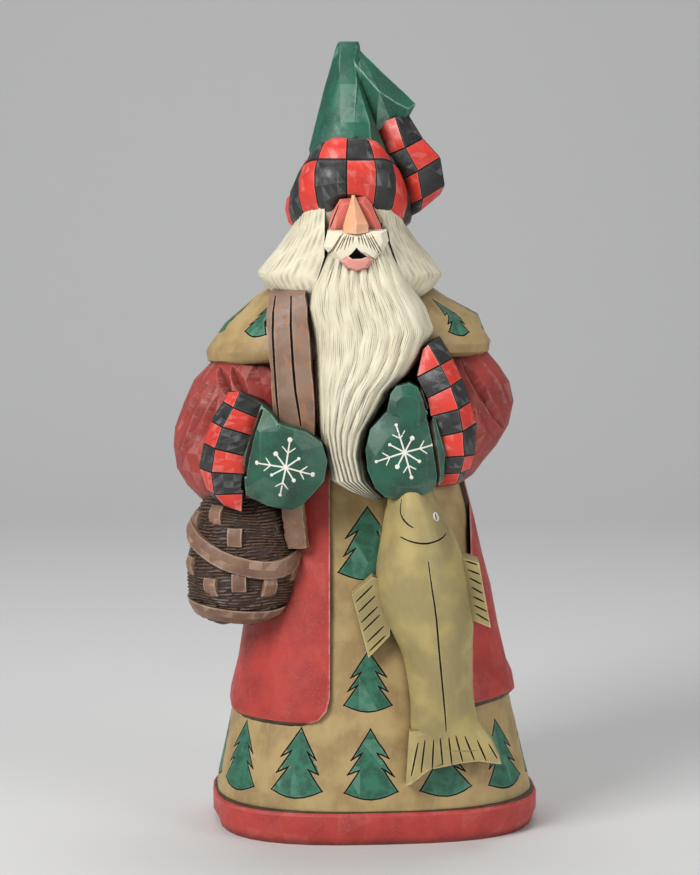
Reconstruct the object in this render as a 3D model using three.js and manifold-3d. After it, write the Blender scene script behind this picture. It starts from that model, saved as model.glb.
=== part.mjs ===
// A bearded winter fisherman, carved from one block of wood with flat knife cuts.
// Millimetres, +Z up, the figure faces -Y, and the origin is the middle of its underside.

import * as THREE from "three";
import { mergeVertices } from "three/addons/utils/BufferGeometryUtils.js";
import Module from "manifold-3d";

const wasm = await Module();
wasm.setup();

// Driving sizes of the whole figure

const HEIGHT = 300;
const BASE_TURN = THREE.MathUtils.degToRad(5);
const BAND_HEIGHT = 13;
const BODY_X = -9.5;
const COAT_THICKNESS = 1.9;
const SMOOTHEST_STEP = 0.02;

// The skirt and body as [height, middle x, half width, front depth, back depth]

const BODY = [
  [8, 0, 64, 47.6, 45],
  [17, -0.3, 62.4, 46.8, 44.2],
  [50, -0.8, 55, 43, 41.5],
  [76, -1, 49.6, 40, 38.5],
  [106, -3.4, 45.2, 37, 35.5],
  [132, -6.5, 41.5, 34.5, 33],
  [160, -9, 40, 33, 31],
  [186, -9.9, 42, 31, 30],
  [204, -9.9, 30, 27, 24],
];

// Helpers

function hash(index) {
  const wave = Math.sin(index * 127.1 + 11.7) * 43758.5453;
  return 2 * (wave - Math.floor(wave)) - 1;
}

function lerp(a, b, t) {
  return a + (b - a) * t;
}

// Reads a table of rows, the first column rising, at one height

function along(table, height) {
  let row = 0;
  while (row < table.length - 2 && table[row + 1][0] < height) row++;
  const [low, high] = [table[row], table[row + 1]];
  const t = THREE.MathUtils.clamp((height - low[0]) / (high[0] - low[0]), 0, 1);
  return low.slice(1).map((value, column) => lerp(value, high[column + 1], t));
}

// A smooth open curve through a few points of any dimension up to 3

function curve(points, count) {
  const track = new THREE.CatmullRomCurve3(points.map(([x, y, z = 0]) => new THREE.Vector3(x, y, z)));
  return track.getPoints(count - 1).map((point) => point.toArray());
}

// A rounded oblong ring, square-cornered as the power rises

function oblong({ x = 0, y = 0, z, side, front, back = front, power = 2.5, turn = 0, count = 32, bend }) {
  const ring = [];
  for (let step = 0; step < count; step++) {
    const angle = (step / count) * 2 * Math.PI;
    const [c, s] = [Math.cos(angle), Math.sin(angle)];
    const across = side * Math.sign(c) * Math.abs(c) ** (2 / power);
    const deep = (s < 0 ? front : back) * Math.sign(s) * Math.abs(s) ** (2 / power);
    const [cos, sin] = [Math.cos(turn), Math.sin(turn)];
    const point = [x + across * cos - deep * sin, y + across * sin + deep * cos, z];
    ring.push(bend ? bend(point, angle, step) : point);
  }
  return ring;
}

// A closed solid through a stack of rings with equal counts, its ends closed to their middles

function loft(rings, { jitter = 0, seed = 0 } = {}) {
  const count = rings[0].length;
  const middle = (ring) => [0, 1, 2].map((axis) => ring.reduce((sum, point) => sum + point[axis], 0) / count);
  const middles = rings.map(middle);
  const positions = [];
  rings.forEach((ring, level) => {
    ring.forEach((point, step) => {
      const out = new THREE.Vector3(...point).sub(new THREE.Vector3(...middles[level]));
      const shift = jitter * hash(seed + level * 61 + step * 7);
      out.setLength(Math.max(out.length() + shift, 0.05));
      positions.push(...out.add(new THREE.Vector3(...middles[level])).toArray());
    });
  });
  positions.push(...middles[0], ...middles[rings.length - 1]);
  const faces = [];
  for (let level = 0; level < rings.length - 1; level++) {
    for (let step = 0; step < count; step++) {
      const next = (step + 1) % count;
      const [a, b] = [level * count + step, level * count + next];
      const [c, d] = [a + count, b + count];
      if (jitter && (level + step) % 2) faces.push(a, b, c, b, d, c);
      else faces.push(a, b, d, a, d, c);
    }
  }
  const last = (rings.length - 1) * count;
  for (let step = 0; step < count; step++) {
    const next = (step + 1) % count;
    faces.push(rings.length * count, next, step, rings.length * count + 1, last + step, last + next);
  }
  return solid(positions, faces);
}

function solid(positions, faces) {
  const geometry = new THREE.BufferGeometry();
  geometry.setAttribute("position", new THREE.Float32BufferAttribute(positions, 3));
  geometry.setIndex(faces);
  return fromGeometry(geometry);
}

// Turns a closed geometry into a solid for joining and cutting, faces outward

function fromGeometry(geometry) {
  for (const name of ["normal", "uv"]) geometry.deleteAttribute(name);
  const merged = mergeVertices(geometry, 1e-3);
  const vertProperties = new Float32Array(merged.getAttribute("position").array);
  const triVerts = new Uint32Array(merged.index.array);
  const corner = (index) => new THREE.Vector3().fromArray(vertProperties, 3 * triVerts[index]);
  let volume = 0;
  for (let t = 0; t < triVerts.length; t += 3) {
    volume += corner(t).dot(corner(t + 1).cross(corner(t + 2)));
  }
  if (volume < 0) {
    for (let t = 0; t < triVerts.length; t += 3) {
      [triVerts[t], triVerts[t + 1]] = [triVerts[t + 1], triVerts[t]];
    }
  }
  return new wasm.Manifold(new wasm.Mesh({ numProp: 3, vertProperties, triVerts }));
}

// A relief that rises toward the viewer from a front outline of [x, z] points.
// Each layer is [depth y, share of the outline kept about its middle].

function pillow(outline, layers, { jitter = 0, seed = 0, tilt = 0 } = {}) {
  const cx = outline.reduce((sum, point) => sum + point[0], 0) / outline.length;
  const cz = outline.reduce((sum, point) => sum + point[1], 0) / outline.length;
  const ring = ([y, share], level) =>
    outline.map(([x, z], step) => {
      const lean = level && level < layers.length - 1 ? jitter * hash(seed + level * 17 + step * 5) : 0;
      return [cx + (x - cx) * share, y + lean + tilt * (x - cx), cz + (z - cz) * share];
    });
  return loft(layers.map(ring));
}

// A flat slab with a front outline of [x, z] points, between two depths

function slab(outline, front, back) {
  const shape = new THREE.Shape(outline.map(([x, z]) => new THREE.Vector2(x, z)));
  const geometry = new THREE.ExtrudeGeometry(shape, { depth: back - front, bevelEnabled: false });
  geometry.rotateX(Math.PI / 2);
  geometry.translate(0, back, 0);
  return fromGeometry(geometry);
}

// A solid through four-sided or many-sided sections, given as lists of [x, y, z] edge curves

function strip(edges, options) {
  return loft(edges[0].map((_, station) => edges.map((edge) => edge[station])), options);
}

// The red band round the foot, its lower edge cut under

function band() {
  const levels = [
    [0, 2.2],
    [5, 0.1],
    [11.8, 0],
    [BAND_HEIGHT, 1.1],
  ];
  return loft(
    levels.map(([z, inset], level) =>
      oblong({
        z,
        side: 63 - inset,
        front: 47 - inset,
        back: 44 - inset,
        power: 2.8,
        turn: BASE_TURN,
        count: 36,
        bend: ([x, y, height], angle, step) => {
          const cut = level === 1 ? 1.6 * hash(step * 3) : 0;
          return [x, y, height + cut];
        },
      }),
    ),
  );
}

// One ring of the body at a height, grown by the thickness of what covers it

function bodyRing(height, grow, count = 36) {
  const [x, side, front, back] = along(BODY, height);
  const turn = BASE_TURN * THREE.MathUtils.clamp(1 - height / 150, 0, 1);
  return oblong({ x, z: height, side: side + grow, front: front + grow, back: back + grow, turn, count });
}

function robe() {
  const heights = [8, 30, 50, 76, 106, 132, 150];
  return loft(heights.map((height) => bodyRing(height, -COAT_THICKNESS)), { jitter: 0.25, seed: 3 });
}

const HEM_RISE = 7;

// The open coat: a thicker skin with its hem higher at the sides, cut away over the robe

function coat() {
  const hem = ([x, y, z]) => [x, y, z + HEM_RISE * THREE.MathUtils.smoothstep(x, -10, 50)];
  const heights = [46, 50, 76, 106, 132, 160, 186, 204];
  const rings = heights.map((height, level) => {
    const ring = bodyRing(height, level ? 0 : -0.2);
    return level < 2 ? ring.map(hem) : ring;
  });
  const skin = loft(rings, { jitter: 0.35, seed: 40 });
  const corner = curve([[-16.8, 62], [-17.2, 53], [-21, 47.2], [-28, 44.6], [-33, 40]], 7);
  const opening = [[38, 40], [36.6, 58], [36.6, 150], [-16.8, 150], ...corner.map(([x, z]) => [x, z])];
  const inner = loft([30, 76, 106, 132, 156].map((height) => bodyRing(height, -COAT_THICKNESS - 1)));
  return skin.subtract(slab(opening, -60, -8).subtract(inner));
}

// The shoulder cape with a thick rolled edge that hangs lower at its corners

const CAPE = [
  [179.5, 50.5, 36, 31],
  [181.2, 54, 40, 34.5],
  [184.8, 54.6, 41, 35],
  [194.5, 47.5, 38, 30],
  [203.5, 36, 34, 24],
  [212, 23, 27, 18],
];

function cape() {
  const rings = CAPE.map(([z, side, front, back], level) =>
    oblong({
      x: BODY_X - 0.4,
      z,
      side,
      front,
      back,
      power: 2.3,
      count: 32,
      bend: ([x, y, height]) => {
        const away = (x - BODY_X) / 55;
        const shrug = level > 2 && x > BODY_X ? 1.8 : 0;
        const lift = level < 4 ? 3.5 * (1 - away ** 2) + 1.9 * away : 0;
        return [x + shrug, y, height + lift];
      },
    }),
  );
  return loft(rings, { jitter: 0.45, seed: 90 });
}

// A puffed sleeve as rows of [height, outer x, front y, back y], with deep creases cut into it

const LEFT_SLEEVE = [
  [125, -61, -36, -2],
  [128.5, -66, -39, 6],
  [133.5, -71.6, -41, 13],
  [140, -75.4, -42, 18],
  [147, -76.7, -41, 20],
  [154, -76, -39, 21],
  [163.5, -72.8, -36, 21],
  [172.5, -68.4, -33, 19],
  [179.5, -62.2, -29, 16],
  [186, -50, -23, 12],
];
const RIGHT_SLEEVE = [
  [134, 33, -30, 2],
  [137.5, 37.5, -36, 8],
  [142, 41.4, -38, 14],
  [148, 46.4, -38, 18],
  [155, 51.2, -37, 20],
  [164, 52.9, -35, 21],
  [171.5, 51.2, -32, 20],
  [177.5, 47.6, -29, 18],
  [184, 42.2, -25, 15],
  [190, 31, -20, 12],
];

const SLEEVE_SIDES = 26;
const CREASES = { 25: 2.2, 23: 3.4, 21: 3, 1: 1.2 };

function sleeve(table, side) {
  const rings = table.map(([z, outer, front, back], level) => {
    const inner = BODY_X + side * 14;
    return oblong({
      x: (outer + inner) / 2,
      y: (front + back) / 2,
      z,
      side: Math.abs(outer - inner) / 2,
      front: (back - front) / 2,
      power: 2.15,
      count: SLEEVE_SIDES,
      bend: ([x, y, height], angle, step) => {
        const outward = side > 0 ? step : (SLEEVE_SIDES * 1.5 - step) % SLEEVE_SIDES;
        const fade = Math.sin(Math.PI * Math.min(1, (level + 0.3) / (table.length - 0.6))) ** 0.7;
        const depth = (CREASES[outward] ?? 0) * fade;
        return [x - depth * Math.cos(angle), y - depth * Math.sin(angle), height];
      },
    });
  });
  return loft(rings, { jitter: 0.5, seed: 130 + side });
}

// The rolled cuffs, each three curves seen from the front: inner edge, middle ridge and outer edge

const LEFT_CUFF = {
  inner: [[-42.5, 168.5], [-44.3, 160], [-46.6, 148.5], [-48, 137], [-49.3, 125.6]],
  ridge: [[-48.5, 171], [-54.4, 163.4], [-59.6, 150], [-60.8, 139], [-56.5, 127.5]],
  outer: [[-53, 171.2], [-60.3, 160.5], [-65.2, 146], [-64.6, 136], [-59.7, 129.2]],
};
const RIGHT_CUFF = {
  inner: [[21.5, 191], [15.9, 178.5], [19.2, 165.5], [22.5, 150], [22.3, 136.8]],
  ridge: [[22, 187.5], [26.3, 177], [31, 163.5], [32.9, 150], [29.5, 136.5]],
  outer: [[26.5, 189.5], [33.4, 174.5], [38.2, 158], [37.6, 147], [31.8, 136.6]],
};
const CUFF_ROWS = 7;

function cuff({ inner, ridge, outer }) {
  const bulge = (station) => Math.sin((Math.PI * (station + 0.5)) / CUFF_ROWS);
  const place = (points, near, curl) =>
    curve(points, CUFF_ROWS).map(([x, z], station) => [x, near - curl * bulge(station), z]);
  const behind = (points, y) => curve(points, CUFF_ROWS).map(([x, z]) => [x, y, z]);
  return strip(
    [place(inner, -46, 6), place(ridge, -46, 8), place(outer, -37, 9), behind(outer, -14), behind(inner, -14)],
    { jitter: 0.25, seed: 7 },
  );
}

// Mittens as faceted lumps that come forward from the cuffs

const LEFT_MITTEN = [
  [-41.8, 167.3], [-38.2, 164.5], [-35.2, 160.6], [-25.4, 157.8], [-19.6, 153.6], [-17.6, 146.8],
  [-18.8, 139.8], [-27.2, 129.8], [-31, 128.2], [-40, 130.2], [-47.5, 134], [-48.5, 148],
];
const RIGHT_MITTEN = [
  [4.2, 165], [-1.8, 158.6], [-3.6, 151], [-2.8, 143.6], [0, 137], [3.6, 133.6],
  [11.3, 132.9], [19.6, 135.2], [25, 140], [25.5, 150], [22, 162], [14, 164.5],
];
const THUMB = [
  [4.4, 165.5], [5.6, 171.6], [7.6, 174.2], [12.4, 175.4], [17, 173], [19.5, 166], [17.5, 160.5], [8, 160.8],
];

function mittens() {
  const layers = [[-20, 0.9], [-44, 1.02], [-52, 0.98], [-56.4, 0.8], [-58.2, 0.48]];
  const thumb = pillow(THUMB, [[-24, 0.9], [-46, 1.02], [-52, 0.94], [-55, 0.6]], { jitter: 0.6, seed: 5 });
  return [
    pillow(LEFT_MITTEN, layers, { jitter: 0.7, seed: 21 }),
    pillow(RIGHT_MITTEN, layers, { jitter: 0.7, seed: 33 }),
    thumb,
  ];
}

// The creel's strap over one shoulder, down the front, behind the mitten and into the creel

const STRAP_FRONT = [
  [-27, -6, 212.5],
  [-31, -26, 211],
  [-33.2, -38.5, 206],
  [-32.6, -43.5, 194],
  [-31.4, -45.8, 178],
  [-30.4, -46.5, 160],
  [-31, -45, 145],
];
const STRAP_FOOT = [
  [-32, -42, 140],
  [-31, -42.5, 128],
  [-30.2, -41.5, 120],
  [-29.4, -39, 112],
];
const STRAP_BACK = [
  [-27, -6, 212.5],
  [-31, 15, 207],
  [-33.5, 27, 196],
  [-35, 32.4, 185],
  [-37, 28.5, 172],
  [-40.5, 23.6, 150],
  [-45, 17.6, 128],
  [-48.8, 5, 116],
  [-50, -12, 110],
];

function strap(path, half, lift) {
  const stations = curve(path, 15);
  const across = stations.map((point, station) => {
    const before = stations[Math.max(station - 1, 0)];
    const after = stations[Math.min(station + 1, stations.length - 1)];
    const run = new THREE.Vector3(...after).sub(new THREE.Vector3(...before)).normalize();
    const out = new THREE.Vector3(point[0] - BODY_X, point[1], 0).multiply(new THREE.Vector3(0.35, 1, 0));
    out.normalize();
    if (point[2] > 204) out.set(-0.3, 0, 1).normalize();
    const wide = new THREE.Vector3().crossVectors(run, out).normalize();
    return { middle: new THREE.Vector3(...point), wide, out };
  });
  const section = [[-1, -5], [-1, -0.6], [-0.62, 0], [0.1, 0.2], [0.72, 0], [1, -0.8], [1, -5]];
  const rings = across.map(({ middle, wide, out }) =>
    section.map(([side, rise]) =>
      middle.clone().addScaledVector(wide, side * half).addScaledVector(out, rise + lift).toArray(),
    ),
  );
  return loft(rings, { jitter: 0.15, seed: 71 });
}

// The creel: a rounded basket with a domed lid, its rim dipping toward the front

const CREEL = [
  [82.5, -51.5, 9, 8],
  [85.5, -51.2, 15.5, 13],
  [92, -50.4, 19.6, 16.5],
  [98, -49.9, 20.9, 18],
  [107, -49.6, 20.9, 18.5],
  [117, -49.3, 19.6, 17.5],
  [125, -49, 17.8, 15.5],
  [134, -48.8, 13.5, 12],
];
const CREEL_Y = -27;

function creelRing(height, grow, count = 24) {
  const [x, side, deep] = along(CREEL, height);
  return oblong({ x, y: CREEL_Y, z: height, side: side + grow, front: deep + grow, power: 2.2, count });
}

// A proud hoop round the creel between two heights, dipping by the drop toward the front right

function hoop(low, high, drop, proud) {
  const count = 24;
  const dip = (point, step) => {
    const angle = (step / count) * 2 * Math.PI;
    const share = (1 - Math.cos(angle - THREE.MathUtils.degToRad(118))) / 2;
    return point[2] - drop * share ** 2;
  };
  const edge = (base, grow) => {
    const flat = creelRing(base, 0, count);
    return flat.map((point, step) => creelRing(dip(point, step), grow, count)[step]);
  };
  const rings = [edge(low, -3), edge(low, proud * 0.7), edge((low + high) / 2, proud), edge(high, proud * 0.7),
    edge(high, -3)];
  return ringSolid(rings);
}

// A closed hoop whose section is one ring of points for each level, joined last to first

function ringSolid(rings) {
  const count = rings[0].length;
  const positions = rings.flat(2);
  const faces = [];
  rings.forEach((_, level) => {
    const above = (level + 1) % rings.length;
    for (let step = 0; step < count; step++) {
      const next = (step + 1) % count;
      const [a, b] = [level * count + step, level * count + next];
      const [c, d] = [above * count + step, above * count + next];
      faces.push(a, b, d, a, d, c);
    }
  });
  return solid(positions, faces);
}

// A raised splint on the creel at a bearing and height

function splint(bearing, height) {
  const angle = THREE.MathUtils.degToRad(bearing);
  const [x, side, deep] = along(CREEL, height);
  const [half, tall] = [2.6, 3.2];
  const centre = [x + side * Math.cos(angle), CREEL_Y + deep * Math.sin(angle)];
  const geometry = new THREE.BoxGeometry(5, 2 * half, 2 * tall);
  geometry.rotateZ(Math.atan2(deep * Math.sin(angle), side * Math.cos(angle)));
  geometry.translate(centre[0] * 0.995, centre[1], height);
  return fromGeometry(geometry);
}

function creel() {
  const pot = loft(CREEL.map(([height]) => creelRing(height, 0)), { jitter: 0.2, seed: 15 });
  const parts = [pot, hoop(116.4, 123, 15, 2.4), hoop(86.5, 92.5, 4, 1.4)];
  for (const [bearing, height] of [[205, 105], [238, 98], [268, 100], [300, 98], [335, 103]]) {
    parts.push(splint(bearing, height));
  }
  for (const [bearing, height] of [[200, 122], [236, 125], [262, 117]]) parts.push(splint(bearing, height));
  return parts;
}

// Head: the hair that flares below the brim, the face and the moustache

const HAIR = [
  [203, 25, 27, 16],
  [208.4, 31.5, 31, 21],
  [213.5, 35.2, 32, 23],
  [222, 28, 31, 21],
  [231, 21.5, 29, 19],
  [246, 18, 24, 17],
];
const HEAD_Y = -11;

function hair() {
  const rings = HAIR.map(([z, side, front, back], level) =>
    oblong({
      x: BODY_X,
      y: HEAD_Y,
      z,
      side,
      front,
      back,
      power: 2.7,
      count: 28,
      bend: ([x, y, height], angle, step) => {
        const right = x > BODY_X && level < 4 ? 0.6 : 0;
        const lock = level < 5 && y > HEAD_Y ? 1.1 * (step % 2) : 0;
        return [x + right, y - lock, height];
      },
    }),
  );
  const notch = [[-18.6, 246], [-18.7, 221], [-25.4, 200], [14, 200], [10, 213], [5.5, 226], [2.6, 246]];
  return loft(rings, { jitter: 0.3, seed: 51 }).subtract(slab(notch, -60, -36));
}

function face() {
  const cheeks = [[-17.6, 228], [-16.4, 236], [-13, 242], [-3.6, 243], [0.4, 238], [3.2, 228]];
  const whiskers = [
    [-17.4, 231], [-19, 224.6], [-12, 217.6], [-9.4, 220.8], [-7.1, 223.9],
    [-4.6, 220.8], [0.9, 219.8], [4.9, 227], [4, 231], [-1.5, 231], [-12, 231],
  ];
  const lip = [[-12.4, 219.4], [-9.6, 216.8], [-6.7, 215.9], [-3.4, 217], [-0.8, 219.6], [-3.2, 223], [-10, 223]];
  const mouth = new THREE.SphereGeometry(1, 12, 8);
  mouth.scale(3.5, 3.4, 2);
  mouth.translate(-7, -48.6, 221.2);
  const head = pillow(cheeks, [[-10, 1], [-40.5, 1], [-43, 0.72]]);
  const moustache = pillow(whiskers, [[-30, 1], [-45.6, 1], [-48.4, 0.8], [-49.4, 0.45]]);
  const mouthPad = pillow(lip, [[-30, 1.1], [-47, 1.05], [-49.2, 0.6]]);
  const nose = strip([
    [[-13, -36, 228.6], [-12.4, -38, 232], [-9.4, -38, 244.5]],
    [[-11.4, -48.2, 229.2], [-11.3, -48.4, 232], [-8.8, -43.4, 244.5]],
    [[-7, -50.2, 228.8], [-7, -51.2, 232.4], [-7.9, -44.4, 244.5]],
    [[-2.9, -48.2, 229.2], [-2.9, -48.4, 232], [-7, -43.4, 244.5]],
    [[-1.3, -36, 228.6], [-1.8, -38, 232], [-6.4, -38, 244.5]],
  ]);
  return [head, moustache, mouthPad.subtract(fromGeometry(mouth)), nose];
}

// The beard as rows of [height, left x, right x, front y], grooved into long locks

const BEARD = [
  [131.4, -1.5, 3.4, -48],
  [134.6, -10.2, 1, -49.5],
  [138.8, -17.4, -1.8, -51],
  [148.5, -19.4, -4.1, -52],
  [156.5, -21.2, -2.4, -52.6],
  [166.7, -21.9, 3.6, -53],
  [172.4, -22.1, 7, -53],
  [177.6, -22.3, 12.6, -52.6],
  [184.4, -22.5, 17.6, -52.2],
  [193.8, -23.5, 21.8, -51.6],
  [202, -25.2, 18.8, -50.8],
  [210, -23.8, 13.4, -49.6],
  [220.8, -18.6, 7, -47.6],
  [226, -16, 4.8, -45.6],
];
const BEARD_BACK = -27;
const BEARD_LOCKS = 8;

function beard() {
  const columns = 25;
  const heights = [];
  for (let z = 131.4; z < 226; z += 6.3) heights.push(z);
  heights.push(226);
  const rings = heights.map((z, level) => {
    const [left, right, front] = along(BEARD, z);
    const ring = [];
    for (let column = 0; column < columns; column++) {
      const s = (2 * column) / (columns - 1) - 1;
      const wave = s * BEARD_LOCKS * 0.5 + 0.35 * Math.sin(z / 11 + s * 3);
      const groove = Math.abs(Math.sin(Math.PI * wave)) - 0.6;
      const round = (1 - s ** 4) ** 0.5;
      const y = lerp(-35, front, round) - 1.3 * groove * round;
      ring.push([lerp(left, right, (s + 1) / 2), y, z + 0.3 * hash(level * 31 + column)]);
    }
    ring.push([right, BEARD_BACK, z], [left, BEARD_BACK, z]);
    return ring;
  });
  return loft(rings);
}

// The fat rolled brim, arched up over the face, in two rows

const BRIM = { side: 22.9, front: 29.5, back: 23.5, middle: 239, arch: 14 };

// The section of the roll as [outward, upward, where it starts to follow the arch over the face]

const BRIM_SECTION = [
  [-11, -8, 0.85],
  [-3.5, -10.4, 0.85],
  [0.1, -5, 0.78],
  [0.5, 1.2, 0.72],
  [-2.2, 5, 0.7],
  [-7, 10.4, 0.68],
  [-13.5, 11, 0.6],
  [-14.5, -4, 0.6],
];

function brim() {
  const rings = BRIM_SECTION.map(([grow, rise, onset], level) =>
    oblong({
      x: BODY_X,
      y: HEAD_Y,
      z: BRIM.middle + rise,
      side: BRIM.side + grow,
      front: BRIM.front + grow,
      back: BRIM.back + grow,
      power: 2.15,
      count: 24,
      bend: ([x, y, height], angle, step) => {
        const lift = BRIM.arch * THREE.MathUtils.smoothstep(-Math.sin(angle), onset, 1);
        const puff = level > 0 && level < 6 ? 1 + 0.02 * hash(step * 5 + level) : 1;
        return [BODY_X + (x - BODY_X) * puff, HEAD_Y + (y - HEAD_Y) * puff, height + lift];
      },
    }),
  );
  return ringSolid(rings);
}

// The tall cap of flat cuts, the point folded over to one side

function cap() {
  const cone = [
    { z: 250, points: [[-23.5, -14], [-19, -27], [-11, -30], [-3, -29], [4.8, -22], [5.5, -8], [-1, 3], [-18, 3]] },
    { z: 260, points: [[-24.7, -14], [-20.5, -26], [-11.5, -30], [-3, -29.5], [4, -22], [3.5, -9], [-2, 1], [-18, 1]] },
    { z: 270, points: [[-22.2, -14], [-18.8, -24], [-12.6, -27.5], [-3.6, -27.5], [-0.2, -22], [0, -11], [-4, -2], [-17, -2]] },
    { z: 287, points: [[-17.9, -14], [-14.8, -19.5], [-13.2, -21.5], [-8, -21.5], [-6, -19], [-5, -12], [-7, -7], [-15, -7]] },
    { z: HEIGHT - 1.6, points: [[-14.4, -13.4], [-13.6, -15.4], [-12.4, -16.4], [-7.4, -16.4], [-5.8, -14.8], [-5.6, -12.4], [-7, -10.6], [-12.6, -10.6]] },
    { z: HEIGHT, points: [[-13.6, -13.2], [-12.9, -14.7], [-12, -15.4], [-7.7, -15.4], [-6.3, -14.3], [-6.1, -12.6], [-7.3, -11.4], [-12, -11.4]] },
  ];
  const tail = [
    [[-9.5, -12, 297.5], [-7.6, -20.4, 291.8], [-8, -18, 284], [-10, -6, 280]],
    [[-5.8, -12.6, 297], [-5.4, -20.6, 289.4], [-5, -17.6, 278], [-6, -5.5, 281]],
    [[3.8, -11, 287.9], [1.6, -20.6, 281.4], [0.4, -17, 266.6], [2, -4.5, 270]],
    [[10.4, -10.2, 281.9], [8, -19, 277.2], [6.4, -15.6, 269.4], [8, -4.5, 271]],
    [[15.6, -10.4, 276.8], [12.6, -15.6, 275], [11.8, -14.2, 272], [13, -7, 272]],
  ];
  return [
    loft(cone.map(({ z, points }) => points.map(([x, y]) => [x, y, z]))),
    loft(tail),
  ];
}

// The checked end of the cap, a short thick roll lying beside the brim

function tassel() {
  const start = new THREE.Vector3(7.2, -12, 271);
  const end = new THREE.Vector3(17.6, -13.4, 238.4);
  const axis = end.clone().sub(start).normalize();
  const deep = new THREE.Vector3(0, -1, 0);
  const wide = new THREE.Vector3().crossVectors(deep, axis).normalize();
  const stations = [[0, 5.8], [0.14, 8.8], [0.36, 11.2], [0.6, 11.9], [0.86, 9.8], [1, 7.2]];
  const rings = stations.map(([t, half]) => {
    const middle = start.clone().lerp(end, t);
    const ring = [];
    for (let step = 0; step < 8; step++) {
      const angle = ((step + 0.5) / 8) * 2 * Math.PI;
      const spot = middle.clone();
      spot.addScaledVector(wide, half * 1.06 * Math.cos(angle));
      spot.addScaledVector(deep, half * 0.92 * Math.sin(angle));
      ring.push(spot.toArray());
    }
    return ring;
  });
  return loft(rings, { jitter: 0.35, seed: 63 });
}

// The fish, hanging by its mouth from the right mitten, as [height, left x, right x, front y]

const FISH = [
  [37, 13.6, 43, -47.5],
  [48, 13.4, 38.6, -51],
  [59, 12.8, 36.6, -54],
  [69, 11.2, 36.3, -56.5],
  [76, 8.9, 36.4, -58],
  [84.4, 4.6, 36.8, -59.4],
  [93.7, 1.7, 35.4, -60.4],
  [103, 0.4, 34, -61],
  [114.3, 1.7, 31, -60.6],
  [125.7, 3.6, 25.6, -59],
  [138, 6, 19.5, -56],
];

function fish() {
  const columns = 11;
  const rings = FISH.map(([z, left, right, front]) => {
    const ring = [];
    for (let column = 0; column < columns; column++) {
      const s = (2 * column) / (columns - 1) - 1;
      const ridge = (1 - Math.abs(s) ** 2.2) ** 0.62;
      ring.push([lerp(left, right, (s + 1) / 2), lerp(-43, front, ridge), z]);
    }
    ring.push([right - 1.5, -30, z], [left + 1.5, -30, z]);
    return ring;
  });
  const tail = [
    [12.9, 44], [11.6, 23.4], [18.9, 29.2], [25, 30.2], [32.6, 31.6], [40.3, 32.2], [47.6, 30.8], [43.6, 40], [38, 48],
  ];
  const leftFin = [[-1, 102.2], [-8.6, 95.4], [-2.4, 71.6], [5.6, 80], [6, 100]];
  const rightFin = [[31, 110], [38.7, 107.4], [43.2, 83], [35, 86.4]];
  return [
    loft(rings, { jitter: 0.3, seed: 81 }),
    pillow(tail, [[-30, 1], [-45.6, 1], [-47, 0.88]], { tilt: 0.12 }),
    pillow(leftFin, [[-30, 1], [-44.5, 1]]),
    pillow(rightFin, [[-30, 1], [-44.5, 1]]),
  ];
}

// One block of wood: everything above is joined, and pockets closed off inside are filled

function carving() {
  const parts = [
    band(),
    robe(),
    coat(),
    cape(),
    sleeve(LEFT_SLEEVE, -1),
    sleeve(RIGHT_SLEEVE, 1),
    cuff(LEFT_CUFF),
    cuff(RIGHT_CUFF),
    ...mittens(),
    strap(STRAP_FRONT, 7.2, 0.4),
    strap(STRAP_FOOT, 3.9, 0),
    strap(STRAP_BACK, 5.5, 0),
    ...creel(),
    hair(),
    ...face(),
    beard(),
    brim(),
    ...cap(),
    tassel(),
    ...fish(),
  ];
  const joined = parts.reduce((block, part) => block.add(part));
  const shells = joined.decompose().sort((a, b) => b.volume() - a.volume());
  return shells[0].simplify(SMOOTHEST_STEP);
}

function toGeometry(block) {
  const mesh = block.getMesh();
  const geometry = new THREE.BufferGeometry();
  geometry.setAttribute("position", new THREE.BufferAttribute(new Float32Array(mesh.vertProperties), 3));
  geometry.setIndex(new THREE.BufferAttribute(new Uint32Array(mesh.triVerts), 1));
  geometry.computeVertexNormals();
  return geometry;
}

const paintedWood = new THREE.MeshStandardMaterial({ color: 0xa8392f, roughness: 0.55, metalness: 0, flatShading: true });
const figure = new THREE.Mesh(toGeometry(carving()), paintedWood);
figure.name = "fisherman_carving";

const group = new THREE.Group();
group.add(figure);

export default group;
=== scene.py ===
import math

import bmesh
import bpy
import numpy as np
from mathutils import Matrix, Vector
from mathutils.bvhtree import BVHTree

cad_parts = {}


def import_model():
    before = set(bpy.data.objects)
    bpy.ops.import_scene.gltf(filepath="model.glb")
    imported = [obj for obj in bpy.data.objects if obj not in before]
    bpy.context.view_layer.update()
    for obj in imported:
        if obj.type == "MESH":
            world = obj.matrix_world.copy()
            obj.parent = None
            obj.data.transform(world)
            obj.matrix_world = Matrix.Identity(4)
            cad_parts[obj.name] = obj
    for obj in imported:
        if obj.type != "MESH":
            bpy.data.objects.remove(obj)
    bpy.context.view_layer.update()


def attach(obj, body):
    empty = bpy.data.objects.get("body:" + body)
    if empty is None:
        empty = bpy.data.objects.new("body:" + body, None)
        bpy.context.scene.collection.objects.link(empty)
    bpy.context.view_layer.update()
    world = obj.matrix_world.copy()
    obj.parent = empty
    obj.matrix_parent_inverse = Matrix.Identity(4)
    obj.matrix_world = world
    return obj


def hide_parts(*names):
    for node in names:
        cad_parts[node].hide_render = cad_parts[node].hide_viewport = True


# A bearded winter fisherman carved from one block of wood and painted. Sizes are in millimetres until the
# end, the figure faces -Y, and the origin is the middle of its underside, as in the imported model.

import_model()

# Driving sizes of the whole figure

MILLIMETRE = 0.001
BASE_TURN = math.radians(5)
BAND_HEIGHT = 13
BAND_SIZE = [63, 47, 44]
BODY_X = -9.5
COAT_THICKNESS = 1.9
HEM_RISE = 7
COAT_TOP = 198
COAT_NECK = 10

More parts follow.
